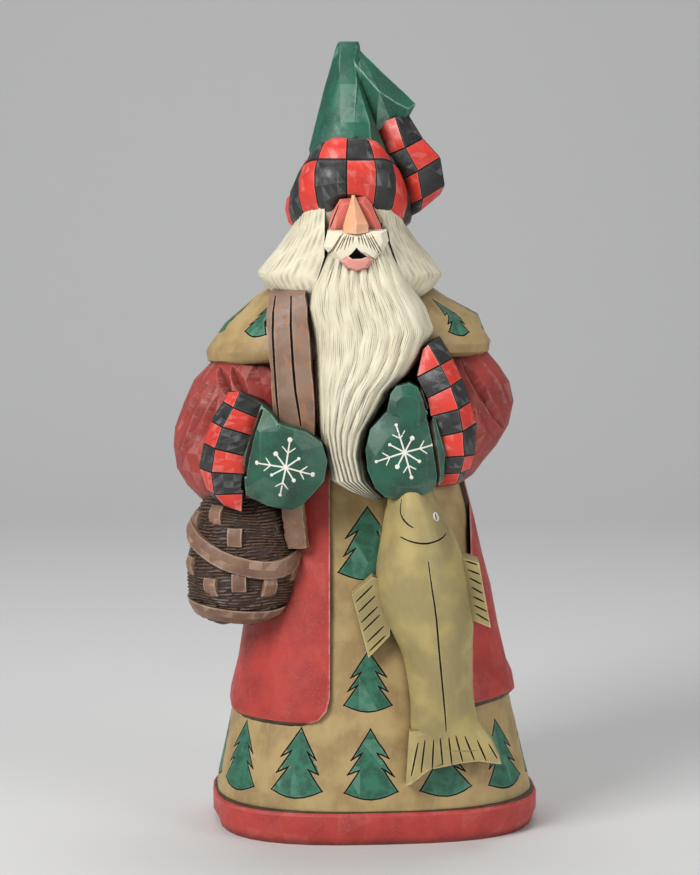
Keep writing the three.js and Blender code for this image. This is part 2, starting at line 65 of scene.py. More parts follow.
# Widths and depths of the fine tool work

CHECK_LINE = 0.27
CHECK_LINE_DEPTH = 0.35
CHECK_PUFF = 0.5
TREE_LINE = 0.3
FISH_LINE = 0.34
STRAP_LINE = 0.5
STRAP_LINE_DEPTH = 0.9
CUFF_LINE = 1
CUFF_LINE_DEPTH = 1.6
LINE_DEPTH = 0.45
STROKE_STEP = 1.2
PAINT_PROUD = 0.14
SHARP_ANGLE = 32

# Helpers

def hashed(index):
    wave = math.sin(index * 127.1 + 11.7) * 43758.5453
    return 2 * (wave - math.floor(wave)) - 1


def mix(a, b, t):
    return a + (b - a) * t


def smoothstep(value, low, high):
    t = min(max((value - low) / (high - low), 0), 1)
    return t * t * (3 - 2 * t)


def along(table, height):
    """Reads a table of rows, the first column rising, at one height."""
    rows = np.array(table, float)
    return [float(np.interp(height, rows[:, 0], rows[:, column])) for column in range(1, rows.shape[1])]


def curve(points, count):
    """Points evenly stepped along a smooth line through a few points."""
    knots = np.array(points, float)
    ends = np.vstack([2 * knots[0] - knots[1], knots, 2 * knots[-1] - knots[-2]])
    line = []
    for t in np.linspace(0, len(knots) - 1, count):
        k = min(int(t), len(knots) - 2)
        f = t - k
        a, b, c, d = ends[k:k + 4]
        bend = (2 * a - 5 * b + 4 * c - d) * f ** 2 + (3 * b - a - 3 * c + d) * f ** 3
        line.append(0.5 * (2 * b + (c - a) * f + bend))
    return np.array(line)


def oblong(z, side, front, back=None, x=0, y=0, power=2.5, turn=0, count=32, bend=None, angles=None):
    """A rounded oblong ring, square-cornered as the power rises."""
    back = front if back is None else back
    if angles is None:
        angles = np.arange(count) / count * 2 * math.pi
    ring = []
    for step, angle in enumerate(angles):
        c, s = math.cos(angle), math.sin(angle)
        across = side * math.copysign(abs(c) ** (2 / power), c)
        deep = (front if s < 0 else back) * math.copysign(abs(s) ** (2 / power), s)
        east = x + across * math.cos(turn) - deep * math.sin(turn)
        north = y + across * math.sin(turn) + deep * math.cos(turn)
        ring.append(bend([east, north, z], angle, step) if bend else [east, north, z])
    return ring


# Closed carved forms, before they are joined into the block

class Form:
    """Points in millimetres, faces with a paint each, and shares of wear by face and of darkening by point, given in
    grooves.
    """

    def __init__(self, points, faces, paints, wears=None, darkenings=None, smooth=False):
        self.points = np.array(points, float)
        self.faces = faces
        self.paints = [paints] * len(faces) if isinstance(paints, str) else paints
        self.wears = [0.0] * len(faces) if wears is None else wears
        self.darkenings = [0.0] * len(self.points) if darkenings is None else darkenings
        self.smooth = smooth


def loft(rings, paint, jitter=0, seed=0, darkenings=None, smooth=False, closed=False, cap_paint=None):
    """A solid through a stack of rings with equal counts. Its ends are closed."""
    stack = np.array(rings, float)
    levels, count = stack.shape[:2]
    middles = stack.mean(axis=1)
    if jitter:
        for level in range(levels):
            for step in range(count):
                out = stack[level, step] - middles[level]
                length = max(np.linalg.norm(out), 0.05)
                grown = max(length + jitter * hashed(seed + level * 61 + step * 7), 0.05)
                stack[level, step] = middles[level] + out * grown / length
    points = list(stack.reshape(-1, 3))
    faces, paints, wears = [], [], []

    def face(corners, name, wear):
        faces.append(corners)
        paints.append(name)
        wears.append(wear)

    for level in range(levels if closed else levels - 1):
        above = (level + 1) % levels
        for step in range(count):
            after = (step + 1) % count
            a, b = level * count + step, level * count + after
            c, d = above * count + step, above * count + after
            name = paint(level, step) if callable(paint) else paint
            wear = hashed(seed + level * 13.7 + step * 29.3)
            other = hashed(seed + level * 17.1 + step * 5.9)
            if jitter and (level + step) % 2:
                face((a, b, c), name, wear)
                face((b, d, c), name, other)
            else:
                face((a, b, d), name, wear)
                face((a, d, c), name, other)
    if not closed:
        points += [middles[0], middles[-1]]
        low, high = levels * count, levels * count + 1
        last = (levels - 1) * count
        for step in range(count):
            after = (step + 1) % count
            name = cap_paint or (paint(0, step) if callable(paint) else paint)
            face((low, after, step), name, 0)
            name = cap_paint or (paint(levels - 2, step) if callable(paint) else paint)
            face((high, last + step, last + after), name, 0)
    flat = None if darkenings is None else list(np.array(darkenings, float).reshape(-1)) + ([] if closed else [0, 0])
    return Form(points, faces, paints, wears, flat, smooth)


def pillow(outline, layers, paint, tilt=0, seed=0, smooth=False):
    """A relief that rises toward the viewer from a front outline. Layers are [depth, share kept]."""
    shape = np.array(outline, float)
    cx, cz = shape.mean(axis=0)
    rings = []
    for y, share in layers:
        rings.append([(cx + (x - cx) * share, y + tilt * (x - cx), cz + (z - cz) * share) for x, z in shape])
    return loft(rings, paint, seed=seed, smooth=smooth)


def slab(outline, front, back, paint):
    """A flat slab with a front outline of [x, z] points, between two depths."""
    count = len(outline)
    points = [(x, front, z) for x, z in outline] + [(x, back, z) for x, z in outline]
    faces = [tuple(range(count)), tuple(reversed(range(count, 2 * count)))]
    for step in range(count):
        after = (step + 1) % count
        faces.append((step, step + count, after + count, after))
    return Form(points, faces, paint)


def whittled(outline, front, back, cuts, paint):
    """A slab with flat knife cuts. A cut is [bearing, lean, distance out]."""
    form = slab(outline, front, back, paint)
    bm = bmesh.new()
    corners = [bm.verts.new(point) for point in form.points]
    for face in form.faces:
        bm.faces.new([corners[index] for index in face])
    bmesh.ops.recalc_face_normals(bm, faces=bm.faces)
    cx, cz = np.array(outline, float).mean(axis=0)
    for bearing, lean, distance in cuts:
        a, b = math.radians(bearing), math.radians(lean)
        normal = Vector((math.sin(b) * math.cos(a), -math.cos(b), math.sin(b) * math.sin(a)))
        spot = Vector((cx + distance * math.cos(a), front, cz + distance * math.sin(a)))
        parts = bm.verts[:] + bm.edges[:] + bm.faces[:]
        cut = bmesh.ops.bisect_plane(bm, geom=parts, plane_co=spot, plane_no=normal, clear_outer=True)
        rim = [part for part in cut["geom_cut"] if isinstance(part, bmesh.types.BMEdge)]
        bmesh.ops.edgenet_fill(bm, edges=rim)
    bmesh.ops.remove_doubles(bm, verts=bm.verts, dist=0.01)
    bm.verts.index_update()
    points = [tuple(vertex.co) for vertex in bm.verts]
    faces = [tuple(vertex.index for vertex in face.verts) for face in bm.faces]
    bm.free()
    wears = [hashed(3.3 * index + cx) for index in range(len(faces))]
    return Form(points, faces, paint, wears)


def cell_steps(edges, share, parts):
    """Spots across a run of cells, each with a burned line at its edges, a shoulder and flats between. Gives the
    spots, how each lies (-1 on a line, 0 on a shoulder, 1 between) and the cell of each step, or None."""
    spots, lies, cells = [], [], []
    for cell, (low, high) in enumerate(zip(edges, edges[1:])):
        gap = share * (high - low)
        spots.append(low)
        lies.append(-1)
        for part, spot in enumerate(np.linspace(low + gap, high - gap, parts + 1)):
            spots.append(spot)
            lies.append(0 if part in (0, parts) else 1)
        cells += [None] + [cell] * parts + [None]
    return spots + [edges[-1]], lies + [-1], cells


def relief(lie, other):
    """How far a point of a checked surface stands out, from how it lies both ways."""
    if lie < 0 or other < 0:
        return -CHECK_LINE_DEPTH
    return CHECK_PUFF if lie > 0 and other > 0 else 0


# The foot, the robe and the open coat

BODY = [
    [8, 0, 64, 47.6, 45],
    [17, -0.3, 62.4, 46.8, 44.2],
    [50, -0.8, 55, 43, 41.5],
    [76, -1, 49.6, 40, 38.5],
    [106, -3.4, 45.2, 37, 35.5],
    [132, -6.5, 41.5, 34.5, 33],
    [160, -9, 40, 33, 31],
    [186, -9.9, 42, 31, 30],
    [204, -9.9, 30, 27, 24],
]


def body_ring(height, grow, count=72):
    x, side, front, back = along(BODY, height)
    turn = BASE_TURN * min(max(1 - height / 150, 0), 1)
    return oblong(height, side + grow, front + grow, back + grow, x=x, turn=turn, count=count)


def band():
    def bend(point, angle, step):
        return [point[0], point[1], point[2] + cut * hashed(step * 3)]

    rings = []
    for z, inset, cut in [(0, 2.2, 0), (5, 0.1, 1.6), (11.6, 0, 0), (12.6, 0.7, 0), (BAND_HEIGHT, 1.3, 0)]:
        side, front, back = [size - inset for size in BAND_SIZE]
        rings.append(oblong(z, side, front, back, power=2.8, turn=BASE_TURN, count=36, bend=bend))

    # The band's top ledge under the robe is painted dark brown: a dark line with painted shade at the joint.
    def paint_of(level, step):
        return "band_red" if level < 3 else "hem_brown"

    return loft(rings, paint_of, cap_paint="hem_brown", seed=2)


def robe():
    heights = [8, 18, 30, 40, 50, 63, 76, 91, 106, 119, 132, 150]
    rings = [body_ring(height, -COAT_THICKNESS) for height in heights]
    return loft(rings, "robe_tan", jitter=0.16, seed=3, smooth=True)


def hem_height(x):
    return 46 + HEM_RISE * smoothstep(x, -10, 50)


def coat():
    def hem(ring, drop):
        return [[x, y, hem_height(x) - drop] for x, y, z in ring]

    count = 44
    rings = []
    for height, grow, drop in [(44, -2.4, 2.2), (46, -0.3, 0), (50, 0, -4)]:
        rings.append(hem(body_ring(height, grow, count), drop))
    rings += [body_ring(height, 0, count) for height in [63, 76, 91, 106, 119, 132, 146, 160, 173, 182]]
    rings.append(body_ring(COAT_TOP, -COAT_NECK, count))
    # The coat's bevel under its hem is painted dark brown: a hem line with painted shade under the hem. The cut edges
    # of its opening take the same dark brown.
    skin = loft(rings, lambda level, step: "coat_red" if level else "hem_brown", jitter=0.42, seed=40)
    bend = [[-16.8, 62], [-17.2, 53], [-21, 47.2], [-28, 44.6], [-33, 40]]
    corner = [list(point) for point in curve(bend, 7)]
    opening = slab([[38, 38], [36.6, 58], [36.6, 150], [-16.8, 150]] + corner, -60, -8, "hem_brown")
    inner = loft([body_ring(height, -COAT_THICKNESS - 1) for height in [30, 76, 106, 132, 156]], "robe_tan")
    return cut_form(skin, cut_form(opening, inner))


# The shoulder cape with a thick rolled edge that hangs lower at its corners

CAPE = [
    [178.6, 49.5, 35, 30],
    [179.8, 52.5, 38.6, 33.2],
    [181.6, 54.2, 40.4, 34.8],
    [184.8, 54.6, 41, 35],
    [188, 52.6, 40.2, 33.6],
    [194.5, 47.5, 38, 30],
    [203.5, 36, 34, 24],
    [212, 23, 27, 18],
]


def cape():
    def bend(point, angle, step):
        x, y, height = point
        away = (x - BODY_X) / 55
        shrug = 1.8 if level > 4 and x > BODY_X else 0
        lift = 3.5 * (1 - away ** 2) + 1.9 * away if level < 6 else 0
        return [x + shrug, y, height + lift]

    rings = []
    for level, (z, side, front, back) in enumerate(CAPE):
        rings.append(oblong(z, side, front, back, x=BODY_X - 0.4, power=2.3, count=36, bend=bend))
    # The underside of the cape's roll is painted dark brown: painted shade under the cape, with a hem line.
    return loft(rings, lambda level, step: "robe_tan" if level else "hem_brown", jitter=0.4, seed=90)


# Puffed sleeves as rows of [height, outer x, front y, back y]

LEFT_SLEEVE = [
    [125, -61, -36, -2],
    [128.5, -66, -39, 6],
    [133.5, -71.6, -41, 13],
    [140, -75.4, -42, 18],
    [147, -76.7, -41, 20],
    [154, -76, -39, 21],
    [163.5, -72.8, -36, 21],
    [172.5, -68.4, -33, 19],
    [179.5, -62.2, -29, 16],
    [186, -50, -23, 12],
]
RIGHT_SLEEVE = [
    [134, 33, -30, 2],
    [137.5, 37.5, -36, 8],
    [142, 41.4, -38, 14],
    [148, 46.4, -38, 18],
    [155, 51.2, -37, 20],
    [164, 52.9, -35, 21],
    [171.5, 51.2, -32, 20],
    [177.5, 47.6, -29, 18],
    [184, 42.2, -25, 15],
    [190, 31, -20, 12],
]


def sleeve(table, side):
    rings = []
    for z, outer, front, back in table:
        inner = BODY_X + side * 14
        middle, half = (outer + inner) / 2, abs(outer - inner) / 2
        deep, along_y = (back - front) / 2, (front + back) / 2
        rings.append(oblong(z, half, deep, x=middle, y=along_y, power=2.15, count=26))
    return loft(rings, "sleeve_red", jitter=0.55, seed=130 + side)


# Checked rolls: the two cuffs and the folded tip of the cap. A row line is [inner, ridge, outer] as (x, z).

LEFT_CUFF = [
    [(-41.6, 167.7), (-49.7, 172.1), (-54.5, 170.8)],
    [(-43.3, 162.4), (-52.1, 166.3), (-56.1, 167.6)],
    [(-45.1, 155.9), (-56.1, 159.4), (-60.5, 160.7)],
    [(-46.8, 148.3), (-58.7, 151.5), (-63.2, 152.5)],
    [(-47.8, 141.7), (-60.2, 142.6), (-65.1, 143.3)],
    [(-48.8, 134.3), (-59.2, 134.0), (-62.3, 134.6)],
    [(-49.4, 127.0), (-55.8, 129.6), (-60.0, 130.8)],
]
RIGHT_CUFF = [
    [(17.6, 187.6), (19.2, 189.4), (24.0, 191.2)],
    [(15.2, 177.3), (23.8, 181.9), (28.5, 183.7)],
    [(18.9, 169.7), (27.5, 174.3), (32.0, 176.3)],
    [(20.2, 163.1), (30.5, 166.0), (35.1, 168.0)],
    [(21.6, 155.3), (32.0, 157.8), (37.4, 160.1)],
    [(22.8, 147.8), (32.7, 148.5), (36.9, 148.0)],
    [(23.7, 141.7), (31.3, 141.9), (35.2, 142.3)],
    [(22.1, 136.6), (30.1, 137.8), (32.0, 137.4)],
]
CUFF_DEPTHS = [(-46, 6), (-46, 8), (-37, 9)]
TIP = [
    [(-0.2, 269.6), (7.6, 272.2), (12.2, 273.6)],
    [(3.2, 256.9), (11.3, 260.5), (18.1, 264.0)],
    [(8.3, 247.7), (16.0, 251.9), (24.6, 256.9)],
    [(11.9, 238.4), (17.8, 241.5), (26.4, 246.4)],
    [(11.5, 233.5), (17.0, 236.6), (24.6, 242.6)],
]
TIP_DEPTHS = [(-13, 6), (-15, 9), (-9, 7)]


def checked_roll(rows, depths, back, first_red, seed):
    """A roll in two columns of checks. Depths are [y, bulge] at its edges and ridge."""
    lines = np.array(rows, float)
    row_count = len(rows) - 1
    length = np.linalg.norm(lines[-1, 1] - lines[0, 1]) / row_count
    spots, lies, row_cells = cell_steps(range(row_count + 1), CHECK_LINE / length, 3)
    width = np.linalg.norm(lines[row_count // 2, 1] - lines[row_count // 2, 0])
    across, across_lies, columns = cell_steps([0, 1, 2], CHECK_LINE / width, 3)
    across_lies[0] = across_lies[-1] = 0

    def place(v, u):
        bulge = math.sin(math.pi * (v + 0.5) / (row_count + 1))
        x, z = [
            np.interp(u, [0, 1, 2], [np.interp(v, range(row_count + 1), lines[:, k, axis]) for k in range(3)])
            for axis in range(2)
        ]
        y = np.interp(u, [0, 1, 2], [near - curl * bulge for near, curl in depths])
        return np.array([x, y, z])

    rings = []
    for v, lie in zip(spots, lies):
        ring = []
        for u, across_lie in zip(across, across_lies):
            here = place(v, u)
            run = place(min(v + 0.1, row_count), u) - place(max(v - 0.1, 0), u)
            wide = place(v, min(u + 0.2, 2)) - place(v, max(u - 0.2, 0))
            out = np.cross(run, wide)
            out *= math.copysign(1, -out[1]) / np.linalg.norm(out)
            rough = 0.16 * hashed(seed + v * 37 + u * 91) if lie > 0 and across_lie > 0 else 0
            ring.append(here + out * (relief(lie, across_lie) + rough))
        ends = [place(v, 2), place(v, 0)]
        ring += [(end[0], back, end[2]) for end in ends]
        rings.append(ring)

    def paint(level, step):
        row = row_cells[level]
        column = columns[step] if step < len(columns) else (1 if step == len(columns) else 0)
        if row is None or column is None:
            return "burned_line"
        return "check_red" if (row + column + first_red) % 2 else "check_black"

    return loft(rings, paint, seed=seed)


# Mittens as lumps cut flat all over with a knife

LEFT_MITTEN = [
    [-41.8, 167.3], [-38.2, 164.5], [-35.2, 160.6], [-25.4, 157.8], [-19.6, 153.6], [-17.6, 146.8],
    [-18.8, 139.8], [-27.2, 129.8], [-31, 128.2], [-40, 130.2], [-47.5, 134], [-48.5, 148],
]
RIGHT_MITTEN = [
    [4.2, 165], [-1.8, 158.6], [-3.6, 151], [-2.8, 143.6], [0, 137], [3.6, 133.6],
    [11.3, 132.9], [19.6, 135.2], [25, 140], [25.5, 150], [22, 162], [14, 164.5],
]
THUMB = [
    [4.4, 165.5], [5.6, 171.6], [7.6, 174.2], [12.4, 175.4], [17, 173], [19.5, 166], [17.5, 160.5],
    [8, 160.8],
]

# Each cut is [bearing, lean, distance out where it meets the front]

LEFT_MITTEN_CUTS = [
    [10, 30, 6.5], [38, 34, 7.5], [62, 26, 9], [95, 30, 12], [128, 36, 15], [180, 40, 9.5], [215, 30, 9.5],
    [245, 34, 8], [285, 38, 9], [322, 30, 10], [350, 52, 12], [30, 54, 13], [268, 56, 13],
    [310, 54, 13.5], [75, 52, 14],
    [235, 55, 14], [180, 60, 13],
]
RIGHT_MITTEN_CUTS = [
    [0, 34, 9], [30, 28, 9.5], [70, 30, 9], [110, 34, 10], [145, 30, 9], [172, 40, 10], [205, 32, 9.5],
    [240, 36, 9.5],
    [272, 38, 10], [315, 34, 11], [330, 54, 14.5], [180, 56, 13], [150, 54, 13], [220, 56, 13.5],
    [285, 58, 13.5],
    [255, 56, 14], [120, 54, 14.5],
]
THUMB_CUTS = [
    [90, 34, 2.6], [130, 38, 3], [45, 36, 3.4], [180, 34, 4], [0, 36, 4.4], [220, 30, 5], [110, 58, 5.5],
    [70, 58, 6],
]


def mittens():
    return [
        whittled(LEFT_MITTEN, -58.2, -20, LEFT_MITTEN_CUTS, "mitten_green"),
        whittled(RIGHT_MITTEN, -58.2, -20, RIGHT_MITTEN_CUTS, "mitten_green"),
        whittled(THUMB, -55.4, -24, THUMB_CUTS, "mitten_green"),
    ]


# The creel's strap over one shoulder, down the front, behind the mitten and into the creel

STRAP_FRONT = [
    [-27, -6, 212.5],
    [-31, -26, 211],
    [-32.9, -38.5, 206],
    [-32.2, -43.5, 194],
    [-31, -45.8, 178],
    [-29.9, -46.5, 160],
    [-30.6, -45, 145],
]
STRAP_FOOT = [
    [-32, -42, 140],
    [-31, -42.5, 128],
    [-30.2, -41.5, 120],
    [-29.4, -39, 112],
]
STRAP_BACK = [
    [-27, -6, 212.5],
    [-31, 16, 208.6],
    [-33.5, 29, 198],
    [-35, 34.6, 186],
    [-37, 28.5, 172],
    [-40.5, 23.6, 150],
    [-45, 17.6, 128],
    [-48.8, 5, 116],
    [-50, -12, 110],
]


STRAP_BACK_LIFT = 1


def strap(path, half, lift, seed):
    stations = curve(path, 18)
    section = [(-1, -5), (-1, -0.6), (-0.62, 0), (-0.2, 0.15), (0.25, 0.2), (0.72, 0), (1, -0.8), (1, -5)]
    rings = []
    for station, point in enumerate(stations):
        run = stations[min(station + 1, len(stations) - 1)] - stations[max(station - 1, 0)]
        out = np.array([(point[0] - BODY_X) * 0.35, point[1], 0])
        if point[2] > 204:
            out = np.array([-0.3, 0, 1])
        out /= np.linalg.norm(out)
        wide = np.cross(run, out)
        wide /= np.linalg.norm(wide)
        rings.append([point + wide * side * half + out * (rise + lift) for side, rise in section])
    return loft(rings, "strap_brown", jitter=0.22, seed=seed)


# The creel: a rounded basket of fine reeds with a domed lid, its rim dipping toward the front

CREEL = [
    [82.5, -51.5, 9, 8],
    [85.5, -51.2, 15.5, 13],
    [92, -50.4, 19.6, 16.5],
    [98, -49.9, 20.9, 18],
    [107, -49.6, 20.9, 18.5],
    [117, -49.3, 19.6, 17.5],
    [125, -49, 17.8, 15.5],
    [134, -48.8, 13.5, 12],
]
CREEL_Y = -27
REED_PITCH = 1.15
REED_LENGTH = 4


def creel_ring(height, grow, count=24):
    x, side, deep = along(CREEL, height)
    return oblong(height, side + grow, deep + grow, x=x, y=CREEL_Y, power=2.2, count=count)


def pot():
    """The woven wall: rows of short raised reeds, each row's joints standing off from the next row's."""
    count = 120
    step_height = REED_PITCH / 2
    rings, darkenings = [], []
    for level in range(int((134 - 82.5) / step_height) + 1):
        height = 82.5 + level * step_height
        row = level // 2
        flat = creel_ring(height, 0, count)
        x, side, deep = along(CREEL, height)
        ring, darkening = [], []
        for step, point in enumerate(flat):
            shift = int(8 * hashed(row * 3.1))
            joint = (step + shift + (row % 2) * REED_LENGTH) % (2 * REED_LENGTH) == 0
            lift = 0.34 * hashed(row * 7.7 + ((step + shift) // REED_LENGTH) * 1.9) + 0.1
            proud = lift if level % 2 else -0.4
            if joint:
                proud = -0.35
            out = np.array([point[0] - x, point[1] - CREEL_Y, 0])
            out /= np.linalg.norm(out)
            sag = 0.5 * math.sin(step * 0.23 + row * 0.4)
            ring.append([point[0] + out[0] * proud, point[1] + out[1] * proud, height + sag])
            # Low rows and the joints between reeds are marked to be darker.
            darkening.append(1 if proud < -0.2 else 0)
        rings.append(ring)
        darkenings.append(darkening)
    return loft(rings, "reed_dark", seed=15, darkenings=darkenings)


def hoop(low, high, drop, proud, count=30):
    """A proud hoop round the creel between two heights, dipping toward the front right."""

    def edge(base, grow):
        ring = []
        for step in range(count):
            angle = step / count * 2 * math.pi
            share = (1 - math.cos(angle - math.radians(118))) / 2
            height = base - drop * share ** 2
            ring.append(creel_ring(height, grow + 0.18 * hashed(step * 3 + base), count)[step])
        return ring

    middle = (low + high) / 2
    section = [(low, -3), (low, proud * 0.7), (middle, proud), (high, proud * 0.7), (high, -3)]
    rings = [edge(base, grow) for base, grow in section]
    return loft(rings, "splint_brown", closed=True, seed=low)


def splint(bearing, height, half=2.7, tall=3.4):
    """A flat splint that shows between the reeds, cut in flat facets."""
    angle = math.radians(bearing)
    x, side, deep = along(CREEL, height)
    out = np.array([side * math.cos(angle), deep * math.sin(angle), 0])
    centre = np.array([x, CREEL_Y, height]) + out
    out /= np.linalg.norm(out)
    wide = np.array([-out[1], out[0], 0])
    rings = []
    for rise, proud in [(-1, 0.5), (-0.35, 1.5), (0.3, 1.9), (1, 1.2)]:
        slope = along(CREEL, height + rise * tall)[1] - side
        ring = []
        for across, depth in [(-1, -2.5), (-1, proud - 0.3), (0, proud), (1, proud - 0.2), (1, -2.5)]:
            spot = centre + wide * across * half + out * (depth + slope)
            ring.append([spot[0], spot[1], height + rise * tall])
        rings.append(ring)
    return loft(rings, "splint_brown", seed=bearing)


def creel():
    parts = [pot(), hoop(116.4, 123, 15, 2.4), hoop(86.5, 92.5, 4, 1.4)]
    for bearing, height in [(205, 105), (238, 98), (268, 100), (300, 98), (335, 103), (150, 100)]:
        parts.append(splint(bearing, height))
    for bearing, height in [(200, 122), (236, 125), (262, 117)]:
        parts.append(splint(bearing, height))
    return parts


# Head: the hair that flares below the brim, the face and the moustache

HEAD_Y = -11
HAIR = [
    [203, 25, 27, 16],
    [208.4, 31.5, 31, 21],
    [213.5, 35.2, 32, 23],
    [222, 28, 31, 21],
    [231, 21.5, 29, 19],
    [246, 18, 24, 17],
]
HAIR_STEP = 1.6


def hair():
    count = 132
    rings, darkenings = [], []
    for height in np.arange(203, 246.1, HAIR_STEP):
        side, front, back = along(HAIR, height)

        def bend(point, angle, step):
            x, y, z = point
            right = 0.6 if x > BODY_X and height < 222.5 else 0
            wave = 0.5 - 0.5 * math.cos(14 * angle)
            lock = 1.1 * wave if y > HEAD_Y and height < 240 else 0
            groove = strand(step, height, 9.0, 51)
            grooves.append(groove)
            out = Vector((x - BODY_X, y - HEAD_Y)).normalized() * 0.3 * groove
            return [x + right - out.x, y - lock - out.y, z]

        grooves = []
        rings.append(oblong(height, side, front, back, x=BODY_X, y=HEAD_Y, power=2.7, count=count, bend=bend))
        darkenings.append(grooves)
    notch = [[-18.6, 246], [-18.7, 221], [-25.4, 200], [14, 200], [10, 213], [5.5, 226], [2.6, 246]]
    return cut_form(loft(rings, "hair_white", darkenings=darkenings, seed=51), slab(notch, -60, -36, "hair_white"))


def strand(step, height, run, seed):
    """Depth, from 0 to 1, of a fine knife stroke that runs down one step of a ring and comes and goes."""
    if step % 2:
        return 0
    phase = height / run + 3 * hashed(seed + step * 1.7)
    fade = math.sin(math.pi * (phase - math.floor(phase)))
    return fade * (0.65 + 0.35 * hashed(seed + step * 2.3 + math.floor(phase) * 5.1))


def face():
    cheeks = [[-17.6, 228], [-16.4, 236], [-13, 242], [-3.6, 243], [0.4, 238], [3.2, 228]]
    whiskers = [
        [-17.4, 231], [-19, 224.6], [-12.6, 217.8], [-9.6, 221], [-7.1, 224.1],
        [-4.2, 221], [0.9, 219.8], [4.9, 227], [4, 231], [-1.5, 231], [-12, 231],
    ]
    lip = [[-12.6, 219.8], [-11, 217.4], [-7, 215.9], [-3, 217.2], [-0.9, 220.4], [-3.2, 222.4], [-10, 222.4]]
    nose = [
        [[-13, -36, 228.6], [-12.4, -38, 232], [-8.7, -38, 243.6]],
        [[-11.6, -48.2, 230], [-11.3, -48.4, 233], [-8.5, -43.6, 243.6]],
        [[-7, -50.2, 229.6], [-7, -51.4, 233.2], [-8.1, -44.2, 243.6]],
        [[-2.7, -48.2, 230.2], [-2.9, -48.4, 233.2], [-7.7, -43.6, 243.6]],
        [[-1.3, -36, 228.6], [-1.8, -38, 232], [-7.5, -38, 243.6]],
    ]
    nose_rings = [[edge[station] for edge in nose] for station in range(3)]
    return [
        pillow(cheeks, [[-10, 1], [-40.5, 1], [-43, 0.72]], "cheek_pink"),
        pillow(whiskers, [[-30, 1], [-45.6, 1], [-48.4, 0.8], [-49.4, 0.45]], "hair_white"),
        pillow(lip, [[-30, 1.05], [-48.6, 1.02], [-50.4, 0.75], [-50.8, 0.3]], "lip_pink"),
        loft(nose_rings, "skin_peach", seed=4),
    ]


# The beard as rows of [height, left x, right x, front y], cut with long flowing strokes

BEARD = [
    [131.4, -1.5, 3.4, -48],
    [134.6, -10.2, 1, -49.5],
    [138.8, -17.4, -1.8, -51],
    [148.5, -19.4, -4.1, -52],
    [156.5, -21.2, -2.4, -52.6],
    [166.7, -21.9, 3.6, -53],
    [172.4, -22.1, 7, -53],
    [177.6, -22.3, 12.6, -52.6],
    [184.4, -22.5, 17.6, -52.2],
    [193.8, -23.5, 21.8, -51.6],
    [202, -25.2, 18.8, -50.8],
    [210, -23.8, 13.4, -49.6],
    [220.8, -18.6, 7, -47.6],
    [226, -16, 4.8, -45.6],
]
BEARD_BACK = -27
BEARD_LOCKS = 8


def beard():
    columns = 121
    rings, darkenings = [], []
    for z in np.linspace(131.4, 226, 64):
        left, right, front = along(BEARD, z)
        fine = 0.34 * smoothstep(right - left, 8, 26)
        ring, darkening = [], []
        for column in range(columns):
            s = 2 * column / (columns - 1) - 1
            wave = s * BEARD_LOCKS * 0.5 + 0.35 * math.sin(z / 11 + s * 3)
            lock = abs(math.sin(math.pi * wave)) - 0.6
            rounding = (1 - s ** 4) ** 0.5
            groove = strand(column, z, 15.0, 77)
            y = mix(-35, front, rounding) - 1.0 * lock * rounding + fine * groove
            ring.append([mix(left, right, (s + 1) / 2), y, z])
            darkening.append(groove * 0.9 if rounding > 0.2 else 0)
        ring += [[right, BEARD_BACK, z], [left, BEARD_BACK, z]]
        rings.append(ring)
        darkenings.append(darkening + [0, 0])
    return loft(rings, "hair_white", darkenings=darkenings, seed=12)


# The fat rolled brim, arched up over the face, in two rows of checks

BRIM = {"side": 22.9, "front": 29.5, "back": 23.5, "middle": 239}

# Its section as [outward, upward, rise over the face, where that starts, where it is full, peak at the nose]

BRIM_SECTION = [
    [-13.5, 11, 14, 0.2, 0.95, 0],
    [-7, 10.4, 14, 0.1, 0.95, 0],
    [-2.2, 5, 12.5, -0.15, 0.85, 0],
    [0.5, 1.2, 11, 0.1, 0.95, 0],
    [0.1, -5, 9, 0.2, 1, 2],
    [-3.5, -10.4, 7, 0.1, 1, 5.5],
    [-11, -8, 7, 0.1, 1, 5.5],
    [-14.5, -4, 10, 0.1, 1, 3],
]
NOSE_PEAK = 0.93
BRIM_LINES = [-78, -54.6, -32.9, -2.3, 24.6, 47.3, 69.1]
BRIM_BACK_CELLS = 8
BRIM_LAST = 5


